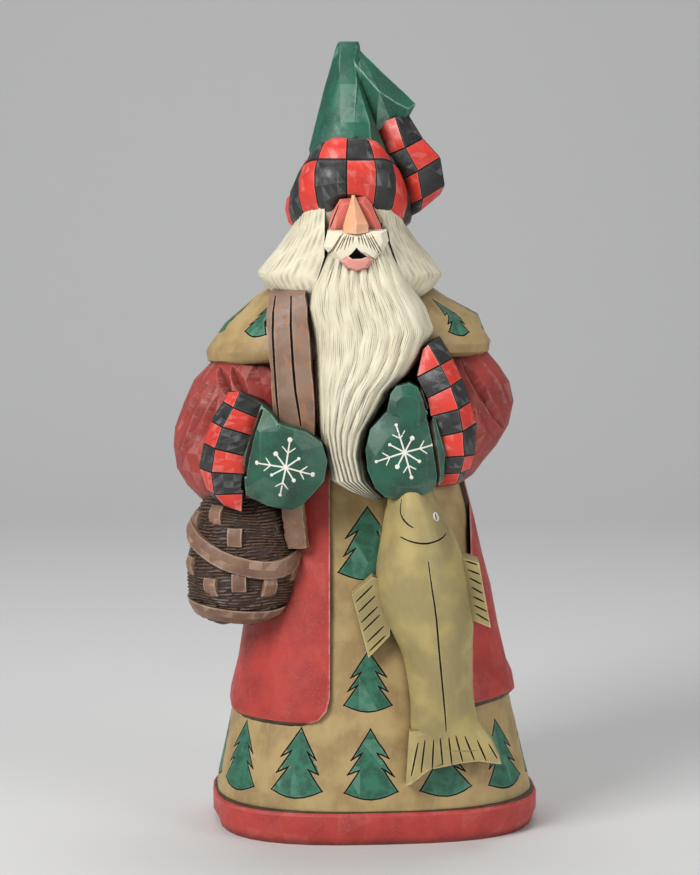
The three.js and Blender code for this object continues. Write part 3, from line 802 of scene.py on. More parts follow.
def brim():
    round_back = np.linspace(BRIM_LINES[-1], BRIM_LINES[0] + 360, BRIM_BACK_CELLS + 1)[1:]
    bearings, bearing_lies, columns = cell_steps(BRIM_LINES + list(round_back), 0.025, 4)
    stations, station_lies, rows = cell_steps([0, 2, BRIM_LAST], 0.03, 4)
    shape = np.array(BRIM_SECTION, float)
    rounded = curve(shape[:BRIM_LAST + 1], 10 * BRIM_LAST + 1)
    marks = np.linspace(0, BRIM_LAST, len(rounded))

    def place(bearing, station):
        if station <= BRIM_LAST:
            row = [np.interp(station, marks, rounded[:, column]) for column in range(rounded.shape[1])]
        else:
            row = shape[int(station)]
        grow, rise, arch, onset, full, peak = row
        under = max(station - 2, 0) / 3
        turned = bearing - 7 * under * math.sin(math.radians(bearing))
        angle = math.radians(turned - 90)
        ring = oblong(
            BRIM["middle"] + rise, BRIM["side"] + grow, BRIM["front"] + grow, BRIM["back"] + grow,
            x=BODY_X, y=HEAD_Y, power=2.15, angles=[angle],
        )
        x, y, z = ring[0]
        forward = -math.sin(angle)
        rise = arch * smoothstep(forward, onset, full) + peak * smoothstep(forward, NOSE_PEAK, 1)
        return np.array([x, y, z + rise])

    middle = np.array([BODY_X, HEAD_Y, BRIM["middle"]])
    rings = []
    for station, lie in zip(list(stations) + [6, 7], station_lies + [-1, -1]):
        ring = []
        for bearing, bearing_lie in zip(bearings[:-1], bearing_lies[:-1]):
            here = place(bearing, station)
            if station > BRIM_LAST:
                ring.append(here)
                continue
            run = place(bearing, min(station + 0.1, BRIM_LAST)) - place(bearing, max(station - 0.1, 0))
            wide = place(bearing + 2, station) - place(bearing - 2, station)
            out = np.cross(wide, run)
            out *= math.copysign(1, np.dot(out, here - middle)) / np.linalg.norm(out)
            rough = 0.3 * hashed(bearing * 3 + station * 11) if lie > 0 and bearing_lie > 0 else 0
            ring.append(here + out * (relief(lie, bearing_lie) + rough))
        rings.append(ring)

    def paint(level, step):
        row = rows[level] if level < len(rows) else 1
        if row is None or columns[step] is None:
            return "burned_line"
        return "check_red" if (row + columns[step]) % 2 == 0 else "check_black"

    return loft(rings, paint, closed=True, seed=9)


# The tall cap of flat cuts, the point folded over to one side

CAP = [
    (250, [(-23.5, -14), (-19, -27), (-13, -30), (-8, -30.5), (-2, -29), (4.8, -22), (5.5, -8), (-1, 3),
        (-18, 3)]),
    (260, [(-24.7, -14), (-20.5, -26), (-13, -30), (-8, -31), (-1.2, -29.5), (4, -22), (3.5, -9),
        (-2, 1), (-18, 1)]),
    (270, [
        (-22.2, -14), (-18.7, -24), (-12.8, -27.5), (-7.8, -28.3), (-2.1, -27), (-0.2, -22), (0, -11),
        (-4, -2), (-17, -2),
    ]),
    (284, [
        (-18.6, -14), (-15.2, -20), (-13, -22.9), (-6.8, -22.7), (-6.3, -21.6), (-5, -19), (-5, -12),
        (-7, -7), (-15, -7),
    ]),
    (292.8, [
        (-16, -13.8), (-13.7, -17.8), (-13.3, -18.6), (-7.4, -18.6), (-7.1, -18.3), (-5.5, -17),
        (-5, -12.5), (-7, -9.5),
        (-13.5, -9),
    ]),
    (295.5, [
        (-15.3, -13.6), (-13.8, -16.6), (-13, -17.2), (-8.2, -17.3), (-7.2, -17.2), (-5.6, -15.9),
        (-5.3, -12.5),
        (-7, -10), (-13, -10),
    ]),
    (298.4, [
        (-14.4, -13.4), (-13.8, -15.8), (-12.8, -16.6), (-9, -16.7), (-7.2, -16.6), (-5.8, -14.8),
        (-5.6, -12.4),
        (-7, -10.6), (-12.6, -10.6),
    ]),
    (300, [
        (-13.6, -13.2), (-12.9, -14.7), (-12, -15.4), (-9.4, -15.5), (-7.7, -15.4), (-6.3, -14.3),
        (-6.1, -12.6),
        (-7.3, -11.4), (-12, -11.4),
    ]),
]
CAP_TAIL = [
    [[-9.5, -12, 297.5], [-7.6, -20.4, 291.8], [-8, -18, 284], [-10, -6, 280]],
    [[-5.8, -12.6, 297], [-5.4, -20.6, 289.4], [-5, -17.6, 278], [-6, -5.5, 281]],
    [[3.8, -11, 287.9], [1.6, -20.6, 281.4], [0.4, -17, 266.6], [2, -4.5, 270]],
    [[10.4, -10.2, 281.9], [8, -19, 277.2], [6.4, -15.6, 269.4], [8, -4.5, 271]],
    [[15.6, -10.4, 276.8], [12.6, -15.6, 275], [11.8, -14.2, 272], [13, -7, 272]],
]


def cap():
    cone = [[(x, y, z) for x, y in points] for z, points in CAP]
    return [loft(cone, "cap_green", seed=31), loft(CAP_TAIL, "cap_green", seed=37)]


# The fish, hanging by its mouth from the right mitten, as [height, left x, right x, front y]

FISH = [
    [37, 13.6, 43, -47.5],
    [48, 13.4, 38.6, -51],
    [59, 12.8, 36.6, -54],
    [69, 11.2, 36.3, -56.5],
    [76, 8.9, 36.4, -58],
    [84.4, 4.6, 36.8, -59.4],
    [93.7, 1.7, 35.4, -60.4],
    [103, 0.4, 34, -61],
    [114.3, 1.7, 31, -60.6],
    [125.7, 3.6, 25.6, -59],
    [138, 6, 19.5, -56],
]


def fish():
    columns = 23
    rings = []
    for z, left, right, front in curve(FISH, 31):
        ring = []
        for column in range(columns):
            s = 2 * column / (columns - 1) - 1
            ridge = (1 - abs(s) ** 2.2) ** 0.62
            ring.append([mix(left, right, (s + 1) / 2), mix(-43, front, ridge), z])
        rings.append(ring + [[right - 1.5, -30, z], [left + 1.5, -30, z]])
    tail = [
        [12.9, 44], [11.6, 23.4], [18.9, 29.2], [25, 30.2], [32.6, 31.6], [40.3, 32.2], [47.6, 30.8],
        [43.6, 40], [38, 48],
    ]
    left_fin = [[-1, 102.2], [-8.6, 95.4], [-2.4, 71.6], [5.6, 80], [6, 100]]
    right_fin = [[31, 110], [38.7, 107.4], [43.2, 83], [35, 86.4]]
    return [
        loft(rings, "fish_olive", jitter=0.12, seed=81, smooth=True),
        pillow(tail, [[-30, 1], [-45.6, 1], [-47, 0.88]], "fish_olive", tilt=0.12),
        pillow(left_fin, [[-30, 1], [-44.5, 1]], "fish_olive"),
        pillow(right_fin, [[-30, 1], [-44.5, 1]], "fish_olive"),
    ]


# Joining and cutting

def solid(form):
    """A Blender object of a form, in triangles with their faces outward."""
    mesh = bpy.data.meshes.new("form")
    mesh.from_pydata([tuple(point) for point in form.points], [], form.faces)
    for material in materials:
        mesh.materials.append(material)
    mesh.polygons.foreach_set("material_index", [SLOT[name] for name in form.paints])
    mesh.polygons.foreach_set("use_smooth", [form.smooth] * len(form.faces))
    wear = mesh.attributes.new("wear", "FLOAT", "FACE")
    wear.data.foreach_set("value", form.wears)
    darkening = mesh.attributes.new("darkening", "FLOAT", "POINT")
    darkening.data.foreach_set("value", form.darkenings)
    bm = bmesh.new()
    bm.from_mesh(mesh)
    bmesh.ops.triangulate(bm, faces=bm.faces)
    bmesh.ops.recalc_face_normals(bm, faces=bm.faces)
    bm.to_mesh(mesh)
    bm.free()
    thing = bpy.data.objects.new("form", mesh)
    bpy.context.scene.collection.objects.link(thing)
    return thing


def split_to_triangles(mesh):
    bm = bmesh.new()
    bm.from_mesh(mesh)
    bmesh.ops.triangulate(bm, faces=bm.faces)
    bm.to_mesh(mesh)
    bm.free()


def combine(block, tool, operation):
    """Joins a tool to a block or cuts it away, and removes the tool."""
    before = len(block.data.polygons)
    modifier = block.modifiers.new("carve", "BOOLEAN")
    modifier.object = tool
    modifier.operation = operation
    modifier.solver = "MANIFOLD"
    modifier.material_mode = "INDEX"
    depsgraph = bpy.context.evaluated_depsgraph_get()
    result = bpy.data.meshes.new_from_object(block.evaluated_get(depsgraph))
    block.modifiers.clear()
    old = block.data
    block.data = result
    bpy.data.meshes.remove(old)
    bpy.data.objects.remove(tool)
    if len(result.polygons) == before:
        print("nothing changed in", operation)
    return block


def cut_form(form, tool):
    """A form with a tool cut away, still to be joined. Each may be a form or an object already."""
    block = solid(form) if isinstance(form, Form) else form
    return combine(block, solid(tool) if isinstance(tool, Form) else tool, "DIFFERENCE")


def carving():
    parts = [
        band(), robe(), coat(), cape(),
        folded(sleeve(LEFT_SLEEVE, -1), LEFT_FOLDS), folded(sleeve(RIGHT_SLEEVE, 1), RIGHT_FOLDS),
        checked_roll(LEFT_CUFF, CUFF_DEPTHS, -14, 0, 7), checked_roll(RIGHT_CUFF, CUFF_DEPTHS, -14, 1, 17),
        *mittens(), strap(STRAP_FRONT, 7.7, 0.4, 71), strap(STRAP_FOOT, 3.9, 0, 72),
        strap(STRAP_BACK, 5.5, STRAP_BACK_LIFT, 73),
        *creel(), hair(), *face(), beard(), brim(), *cap(), checked_roll(TIP, TIP_DEPTHS, -2, 1, 27), *fish(),
    ]
    block = solid(parts[0])
    for part in parts[1:]:
        combine(block, solid(part) if isinstance(part, Form) else part, "UNION")
    return block


# Strokes that follow a surface

class Skin:
    """A block's surface, found by rays, with the paint of each face."""

    def __init__(self, block):
        mesh = block.data
        self.paints = [NAMES[polygon.material_index] for polygon in mesh.polygons]
        corners = [vertex.co for vertex in mesh.vertices]
        self.tree = BVHTree.FromPolygons(corners, [tuple(polygon.vertices) for polygon in mesh.polygons])

    def hit(self, start, aim, reach, paint):
        place, normal, index, distance = self.tree.ray_cast(Vector(start), Vector(aim), reach)
        if place is None or (paint and self.paints[index] != paint):
            return None
        return np.array(place), np.array(normal)

    def front(self, paint=None):
        """Finds a spot given as (x, z) on what shows from the front."""
        return lambda spot: self.hit((spot[0], -200, spot[1]), (0, 1, 0), 400, paint)


def trace(path, find):
    """Runs of surface points and their normals along a path, broken where another part covers it."""
    spots = []
    for a, b in zip(path, path[1:]):
        count = max(round(math.dist(a, b) / STROKE_STEP), 1)
        spots += [(mix(a[0], b[0], k / count), mix(a[1], b[1], k / count)) for k in range(count)]
    runs, run = [], []
    for spot in spots + [path[-1]]:
        found = find(spot)
        if found:
            run.append(found)
        else:
            runs.append(run)
            run = []
    return [run for run in runs + [run] if len(run) > 1]


def swept(run, section, paint, ends=1.0, belly=0.0):
    """A bar of one section, as (across, up), along a run. It narrows to its ends."""
    places = np.array([place for place, normal in run])
    normals = np.array([normal for place, normal in run])
    rings = []
    for index in range(len(run)):
        low, high = max(index - 1, 0), min(index + 1, len(run) - 1)
        ahead = places[high] - places[low]
        ahead /= max(np.linalg.norm(ahead), 1e-6)
        up = normals[low] + normals[index] + normals[high]
        up -= ahead * np.dot(up, ahead)
        up /= max(np.linalg.norm(up), 1e-6)
        wide = np.cross(ahead, up)
        t = index / (len(run) - 1)
        share = mix(ends, 1, math.sin(math.pi * t) ** (0.5 + belly))
        rings.append([places[index] + wide * across * share + up * rise * share for across, rise in section])
    return loft(rings, paint)


def groove(run, half, depth, paint, ends=0.5, belly=0.0):
    """A V-shaped cut of a half width at the surface."""
    rise = 0.5 + half * 0.3
    wing = half * (depth + rise) / depth
    return swept(run, [(-wing, rise), (0, -depth), (wing, rise), (0, rise * 1.5)], paint, ends, belly)


def bead(run, half, proud, paint, ends=0.7):
    """A painted line that stands a little proud."""
    return swept(run, [(-half, -0.6), (half, -0.6), (half * 0.7, proud), (-half * 0.7, proud)], paint, ends)


def dot(found, radius, proud, paint):
    """A small domed dot on a spot of the surface."""
    place, normal = found
    side = np.cross(normal, [0, 0, 1])
    side /= np.linalg.norm(side)
    up = np.cross(side, normal)
    rings = []
    for rise, grow in [(-0.8, 1), (proud * 0.5, 1), (proud * 0.9, 0.7), (proud, 0.3)]:
        ring = []
        for step in range(12):
            angle = step / 12 * 2 * math.pi
            outward = side * math.cos(angle) + up * math.sin(angle)
            ring.append(place + normal * rise + outward * radius * grow)
        rings.append(ring)
    return loft(rings, paint)


def merged(forms):
    """Forms that don't touch one another, as one."""
    points, faces, paints = [], [], []
    for form in forms:
        first = len(points)
        points += list(form.points)
        faces += [tuple(first + corner for corner in face) for face in form.faces]
        paints += form.paints
    return Form(points, faces, paints)


def engrave(block, batches, operation="DIFFERENCE"):
    for forms in batches:
        if forms:
            combine(block, solid(merged(forms)), operation)


# Sleeve folds as [path in front view, half width, depth]

LEFT_FOLDS = [
    ([(-62.4, 173.4), (-69, 164.4), (-74.6, 154)], 2.7, 2.1),
    ([(-60, 171.6), (-66.2, 161.4), (-73.4, 146)], 2.7, 2.1),
    ([(-58.5, 169), (-62.8, 158.8), (-67, 149)], 2.3, 1.7),
    ([(-58.6, 178.6), (-56.8, 174.4), (-53.8, 168)], 2.6, 3),
    ([(-53.6, 179), (-51.6, 175), (-47.6, 168)], 2.4, 2.6),
    ([(-44, 181), (-43, 176), (-40.6, 170)], 3.4, 1),
]
RIGHT_FOLDS = [
    ([(32.4, 181.4), (40.4, 169.6), (49, 155)], 3, 2.8),
    ([(40.6, 180.8), (46.3, 171.8), (51, 161)], 2, 1.4),
    ([(38, 164), (43.4, 155), (47.4, 148)], 1.8, 1),
]


def folded(form, folds):
    """A sleeve with its folds cut in."""
    block = solid(form)
    for path, half, depth in folds:
        for run in trace(path, Skin(block).front()):
            combine(block, solid(groove(run, half, depth, "sleeve_red", ends=0.06, belly=0.2)), "DIFFERENCE")
    return block


# Burned trees, each from the right half of its outline above the middle of its base

TREE_HALF = [(0, 23), (7.4, 12), (3, 14.4), (8.3, 6), (4, 8.3), (10, 0)]
TREE_BOW = 2.8
TREE_SHAKE = 0.45
SKIRT_PITCH = 28.1
SKIRT_TREES = 12
SKIRT_MIDDLE = -4.1
SKIRT_BASE = 20.4
SKIRT_HEIGHT = 30
FRONT_TREES = [(-2.6, 102.4, 1.07), (-2.4, 52.4, 0.9)]
CAPE_TREES = [-33, -4, 27, 58, 90, 150, 190, 221]
CAPE_BASE = 192
CAPE_SCALE = 0.52
CAPE_ARM = 48


def tree_edges(scale, seed):
    """The strokes round a tree. Its base is one bowed stroke, and no two trees are quite alike."""
    def shaken(x, z, index):
        across, up = hashed(seed + index * 3.1), hashed(seed + index * 5.7)
        return x * scale + TREE_SHAKE * across, z * scale + TREE_SHAKE * up

    right = [shaken(x, z, index) for index, (x, z) in enumerate(TREE_HALF)]
    left = [shaken(-x, z, index + 10) for index, (x, z) in enumerate(TREE_HALF)]
    left[0] = right[0]
    base = []
    for share in np.linspace(0, 1, 7):
        x, z = mix(right[-1][0], left[-1][0], share), mix(right[-1][1], left[-1][1], share)
        base.append((x, z - TREE_BOW * scale * math.sin(math.pi * share)))
    edges = [[a, b] for a, b in zip(right, right[1:])] + [base]
    return edges + [[a, b] for a, b in zip(left[::-1], left[-2::-1])]


def skirt_arc():
    """The bearing parameters round the robe's ring, and the length along it from the front."""
    angles = np.linspace(-math.pi * 1.5, math.pi * 0.5, 361)
    x, side, front, back = along(BODY, SKIRT_HEIGHT)
    turn = BASE_TURN * (1 - SKIRT_HEIGHT / 150)
    ring = np.array(oblong(SKIRT_HEIGHT, side, front, back, x=x, turn=turn, angles=angles))
    lengths = np.concatenate([[0], np.cumsum(np.linalg.norm(np.diff(ring, axis=0), axis=1))])
    return angles, lengths - lengths[180]


def skirt_site(skin, middle):
    """How to reach a spot round the robe's skirt from (length along it, height), and back."""
    angles, lengths = skirt_arc()
    whole = lengths[-1] - lengths[0]

    def frame_at(height):
        x, side, front, back = along(BODY, height)
        return x, side, front, back, BASE_TURN * (1 - height / 150)

    def find(spot):
        length = (middle + spot[0] - lengths[0]) % whole + lengths[0]
        height = SKIRT_BASE + spot[1]
        angle = float(np.interp(length, lengths, angles))
        x, side, front, back, turn = frame_at(height)
        pair = [angle, angle + 0.02]
        near, beside = np.array(oblong(height, side, front, back, x=x, turn=turn, angles=pair))
        wide = beside - near
        outward = np.array([wide[1], -wide[0], 0])
        outward /= np.linalg.norm(outward)
        return skin.hit(near + outward * 2.5, -outward, 6, "robe_tan")

    def local(point):
        x, side, front, back, turn = frame_at(point[2])
        east, north = point[0] - x, point[1]
        across = east * math.cos(turn) + north * math.sin(turn)
        deep = -east * math.sin(turn) + north * math.cos(turn)
        depth = front if deep < 0 else back
        c = math.copysign(abs(across / side) ** 1.25, across)
        s = math.copysign(abs(deep / depth) ** 1.25, deep)
        angle = math.atan2(s, c)
        angle = angle - 2 * math.pi if angle > math.pi / 2 else angle
        length = float(np.interp(angle, angles, lengths)) - middle
        length = (length + whole / 2) % whole - whole / 2
        return length, point[2] - SKIRT_BASE

    return find, local


PANEL_BACK = -20
FAR = (99, 99)


def panel_site(skin, x, z):
    find_front = skin.front("robe_tan")

    def local(point):
        return (point[0] - x, point[2] - z) if point[1] < PANEL_BACK else FAR

    return lambda spot: find_front((spot[0] + x, spot[1] + z)), local


def cape_site(skin, bearing):
    """How to reach a spot on the cape's slope from (length across, height), and back."""
    def find(spot):
        angle = math.radians(bearing) + spot[0] / CAPE_ARM
        aim = (-math.cos(angle), -math.sin(angle), 0)
        start = (BODY_X - 100 * aim[0], -100 * aim[1], CAPE_BASE + spot[1])
        return skin.hit(start, aim, 100, "robe_tan")

    def local(point):
        angle = math.atan2(point[1], point[0] - BODY_X) - math.radians(bearing)
        angle = (angle + math.pi) % (2 * math.pi) - math.pi
        return angle * CAPE_ARM, point[2] - CAPE_BASE

    return find, local


def tree_sites(skin):
    """Each tree's outline with how to reach its spots."""
    sites = []
    for index in range(SKIRT_TREES):
        sites.append((tree_edges(1, 3 + index), *skirt_site(skin, (index - 5) * SKIRT_PITCH + SKIRT_MIDDLE)))
    for index, (x, z, scale) in enumerate(FRONT_TREES):
        sites.append((tree_edges(scale, 40 + index), *panel_site(skin, x, z)))
    for index, bearing in enumerate(CAPE_TREES):
        sites.append((tree_edges(CAPE_SCALE, 60 + index), *cape_site(skin, bearing)))
    return sites


def lengthened(path, more):
    """A path with its first and last stretch carried on a little."""
    line = [np.array(point, float) for point in path]
    first, last = line[0] - line[1], line[-1] - line[-2]
    line[0] = line[0] + first / np.linalg.norm(first) * more
    line[-1] = line[-1] + last / np.linalg.norm(last) * more
    return [tuple(point) for point in line]


def inside(polygon, x, z):
    found = False
    for (ax, az), (bx, bz) in zip(polygon, polygon[1:] + polygon[:1]):
        if (az > z) != (bz > z) and x < (bx - ax) * (z - az) / (bz - az) + ax:
            found = not found
    return found


def burn_trees(block):
    """Cuts the trees' outlines, and paints what lies inside them green."""
    sites = tree_sites(Skin(block))
    batches = [[], [], []]
    for edges, find, local in sites:
        for index, edge in enumerate(edges):
            batch = 2 if index == len(edges) - 1 else index % 2
            for run in trace(lengthened(edge, 0.4), find):
                batches[batch].append(groove(run, TREE_LINE, LINE_DEPTH, "burned_line", ends=0.8))
    engrave(block, batches)
    mesh = block.data
    split_to_triangles(mesh)
    spots = [vertex.co for vertex in mesh.vertices]
    polygons = [[point for edge in edges for point in edge[:-1]] for edges, find, local in sites]
    for face in mesh.polygons:
        if face.material_index != SLOT["robe_tan"]:
            continue
        middle = sum((spots[corner] for corner in face.vertices), Vector()) / len(face.vertices)
        for (edges, find, local), polygon in zip(sites, polygons):
            if inside(polygon, *local(middle)):
                face.material_index = SLOT["tree_green"]
                break


# Lines on the fish, as (x, z) in front view

MOUTH_LINE = [(9.6, 133.4), (9.1, 128.9), (9.8, 126.5), (11.6, 124.4), (13.9, 123)]
GILL_LINE = [(9.1, 119.5), (12.4, 118.2), (17.6, 117.3), (22.1, 117.9), (24.8, 118.9), (26.1, 120)]
SIDE_LINE = [(19.3, 110.9), (20.6, 101), (22.2, 90.9), (23.4, 77.7), (24.7, 64.8), (26, 51.7), (26.5, 44.7)]
FISH_EYE = (22.2, 126.3)
EYE_RADIUS = 1.75

RAY_SHAKE = 0.3

# Fins as [first ray root, first ray tip, last ray root, last ray tip, ray count]

FINS = [
    ((-1, 98.9), (-7.3, 92.6), (4.1, 80.1), (-2, 74.1), 6),
    ((33.4, 108.2), (37.9, 106.5), (37.7, 88.4), (42.5, 85.7), 7),
    ((16, 40.6), (13.4, 27.6), (30.2, 43), (33, 32.4), 6),
    ((33.4, 42.6), (37.8, 32), (42.8, 39), (46, 33), 3),
]


def mark_fish(block):
    """The mouth, gill, side line, fin rays and eye."""
    find = Skin(block).front("fish_olive")
    paths = [curve(line, 12) for line in (MOUTH_LINE, GILL_LINE, SIDE_LINE)]
    for fin, (root, tip, last_root, last_tip, count) in enumerate(FINS):
        for ray in range(count):
            share = ray / (count - 1)
            ends = []
            for first, last, step in [(root, last_root, 11), (tip, last_tip, 13)]:
                shake = [RAY_SHAKE * hashed(ray + fin * step + axis) for axis in range(2)]
                ends.append([mix(first[axis], last[axis], share) + shake[axis] for axis in range(2)])
            paths.append(ends)
    lines = []
    for path in paths:
        for run in trace([tuple(point) for point in path], find):
            lines.append(groove(run, FISH_LINE, LINE_DEPTH, "burned_line"))
    engrave(block, [lines])
    engrave(block, [[dot(Skin(block).front()(FISH_EYE), EYE_RADIUS, 0.4, "eye_white")]], "UNION")
    x, z = FISH_EYE
    for run in trace([(x - 0.2, z + 1.1), (x + 0.2, z - 1.1)], Skin(block).front()):
        engrave(block, [[groove(run, 0.42, 0.5, "mouth_black")]])


# Snowflakes on the mittens: four long barbed arms, and four short ones with a dot

FLAKES = [{"at": (-32.7, 145.1), "turn": -13, "seed": 5}, {"at": (10.6, 150.7), "turn": 16, "seed": 9}]
FLAKE_LONG = 10.2
FLAKE_SHORT = 5.9
FLAKE_BARB = 3.3
FLAKE_LINE = 0.42
FLAKE_DOT = 0.85


def paint_flakes(block):
    find = Skin(block).front()
    lines = [[], [], [], []]
    barbs, dots = [], []

    def end_of(start, degrees, length):
        angle = math.radians(degrees)
        return start[0] + length * math.cos(angle), start[1] + length * math.sin(angle)

    for flake in FLAKES:
        for line in range(4):
            ends = []
            for half in range(2):
                seed = flake["seed"] + line * 2.3 + half * 7.1
                bearing = flake["turn"] + 45 * line + 180 * half + 5 * hashed(seed)
                reach = (FLAKE_SHORT if line % 2 else FLAKE_LONG) * (1 + 0.08 * hashed(seed + 1))
                ends.append(end_of(flake["at"], bearing, reach))
                dots.append((ends[-1], FLAKE_DOT * (0.9 + 0.2 * hashed(seed + 2))))
                if line % 2 == 0:
                    fork = end_of(flake["at"], bearing, reach * 0.52)
                    tips = [end_of(fork, bearing + turn, FLAKE_BARB) for turn in (48, -48)]
                    barbs.append([tips[0], fork, tips[1]])
            lines[line].append([ends[0], flake["at"], ends[1]])
    batches = []
    for paths, share in [(line, 1) for line in lines] + [(barbs, 0.8)]:
        runs = [run for path in paths for run in trace(path, find)]
        batches.append([bead(run, FLAKE_LINE * share, PAINT_PROUD * share, "snow_white") for run in runs])
    batches.append([dot(find(spot), radius, PAINT_PROUD * 1.6, "snow_white") for spot, radius in dots])
    engrave(block, batches, "UNION")


# Plain burned lines, and grooves by the cuffs painted dark brown as their shade, as [path in front view, half width,
# depth, paint]

LINES = [
    ([(-36.9, 206.3), (-37.6, 200.9), (-37.8, 192.9), (-37.2, 182.1), (-36.4, 169.9), (-35.4, 160)],
        STRAP_LINE, STRAP_LINE_DEPTH, "burned_line"),
    ([(-31, 206.6), (-31.1, 195.7), (-30.3, 182.2), (-29.4, 172.1), (-28.2, 164.6), (-27.4, 159)],
        STRAP_LINE, STRAP_LINE_DEPTH, "burned_line"),
    ([(-41.4, 166), (-44.6, 157.6), (-46.9, 148), (-48.2, 140), (-49, 131)],
        CUFF_LINE, CUFF_LINE_DEPTH, "hem_brown"),
    ([(14.9, 176.5), (18, 169.7), (19.6, 163.1), (21.2, 155.3), (22.4, 147.8), (23.2, 141.7),
        (22.4, 136.6)], CUFF_LINE, CUFF_LINE_DEPTH, "hem_brown"),
    ([(-13.4, 240), (-17, 230.8)], 0.35, 0.6, "burned_line"),
    ([(-1.4, 240.6), (2.8, 230.8)], 0.35, 0.6, "burned_line"),
    ([(-16.4, 230.9), (-12.2, 231)], 0.3, 0.6, "burned_line"),
    ([(-2, 230.8), (2.2, 230.9)], 0.3, 0.6, "burned_line"),
]
MOUTH = [(-10, 221.6), (-8.2, 222.8), (-7.1, 224), (-5.6, 223), (-3, 221.5), (-5, 220.7), (-8.4, 220.6)]


def cut_lines(block):
    """The strap's grooves, the cuffs' shadows painted dark brown in grooves, the lines round the cheeks and the
    mouth.
    """
    combine(block, solid(slab(MOUTH, -60, -45.4, "mouth_black")), "DIFFERENCE")
    find = Skin(block).front()
    for path, half, depth, paint in LINES:
        for run in trace(path, find):
            engrave(block, [[groove(run, half, depth, paint)]])
    strokes = []
    for side in (-1, 1):
        for step in range(7):
            top = (-7.1 + side * (0.9 + step * 0.75), 229.6 + 0.4 * hashed(step + side))
            low = (-7.1 + side * (1.2 + step * 1.55), 225.6 - step * 0.75 + 0.6 * hashed(step * 3 + side))
            for run in trace([top, low], find):
                strokes.append(groove(run, 0.24, 0.3, "hair_shade", ends=0.2))
    engrave(block, [strokes[0::2], strokes[1::2]])


def carve_strokes(block):
    burn_trees(block)
    mark_fish(block)
    paint_flakes(block)
    cut_lines(block)


# Paints: oil colours over bare wood, dry-brushed on the ridges, with painted shade in a dark brown in the recesses
# and between parts

# The dark brown of the painted shade in recesses and between parts.
RECESS_SHADE = (0.022, 0.012, 0.006)


def paint(base, second, worn, light, rubbed=0.7, ridge=0.6, shade_depth=0.8, gloss=0.5, broad=90, knife=0, grain=1):
    """One paint's settings: two tones that mottle, the tone of rubbed facets and of dry-brushed ridges, and the
    strength of the painted shade in its recesses.
    """
    return {
        "base": base, "second": second, "worn": worn, "light": light, "rubbed": rubbed, "ridge": ridge,
        "shade_depth": shade_depth, "gloss": gloss, "broad": broad, "knife": knife, "grain": grain,
    }


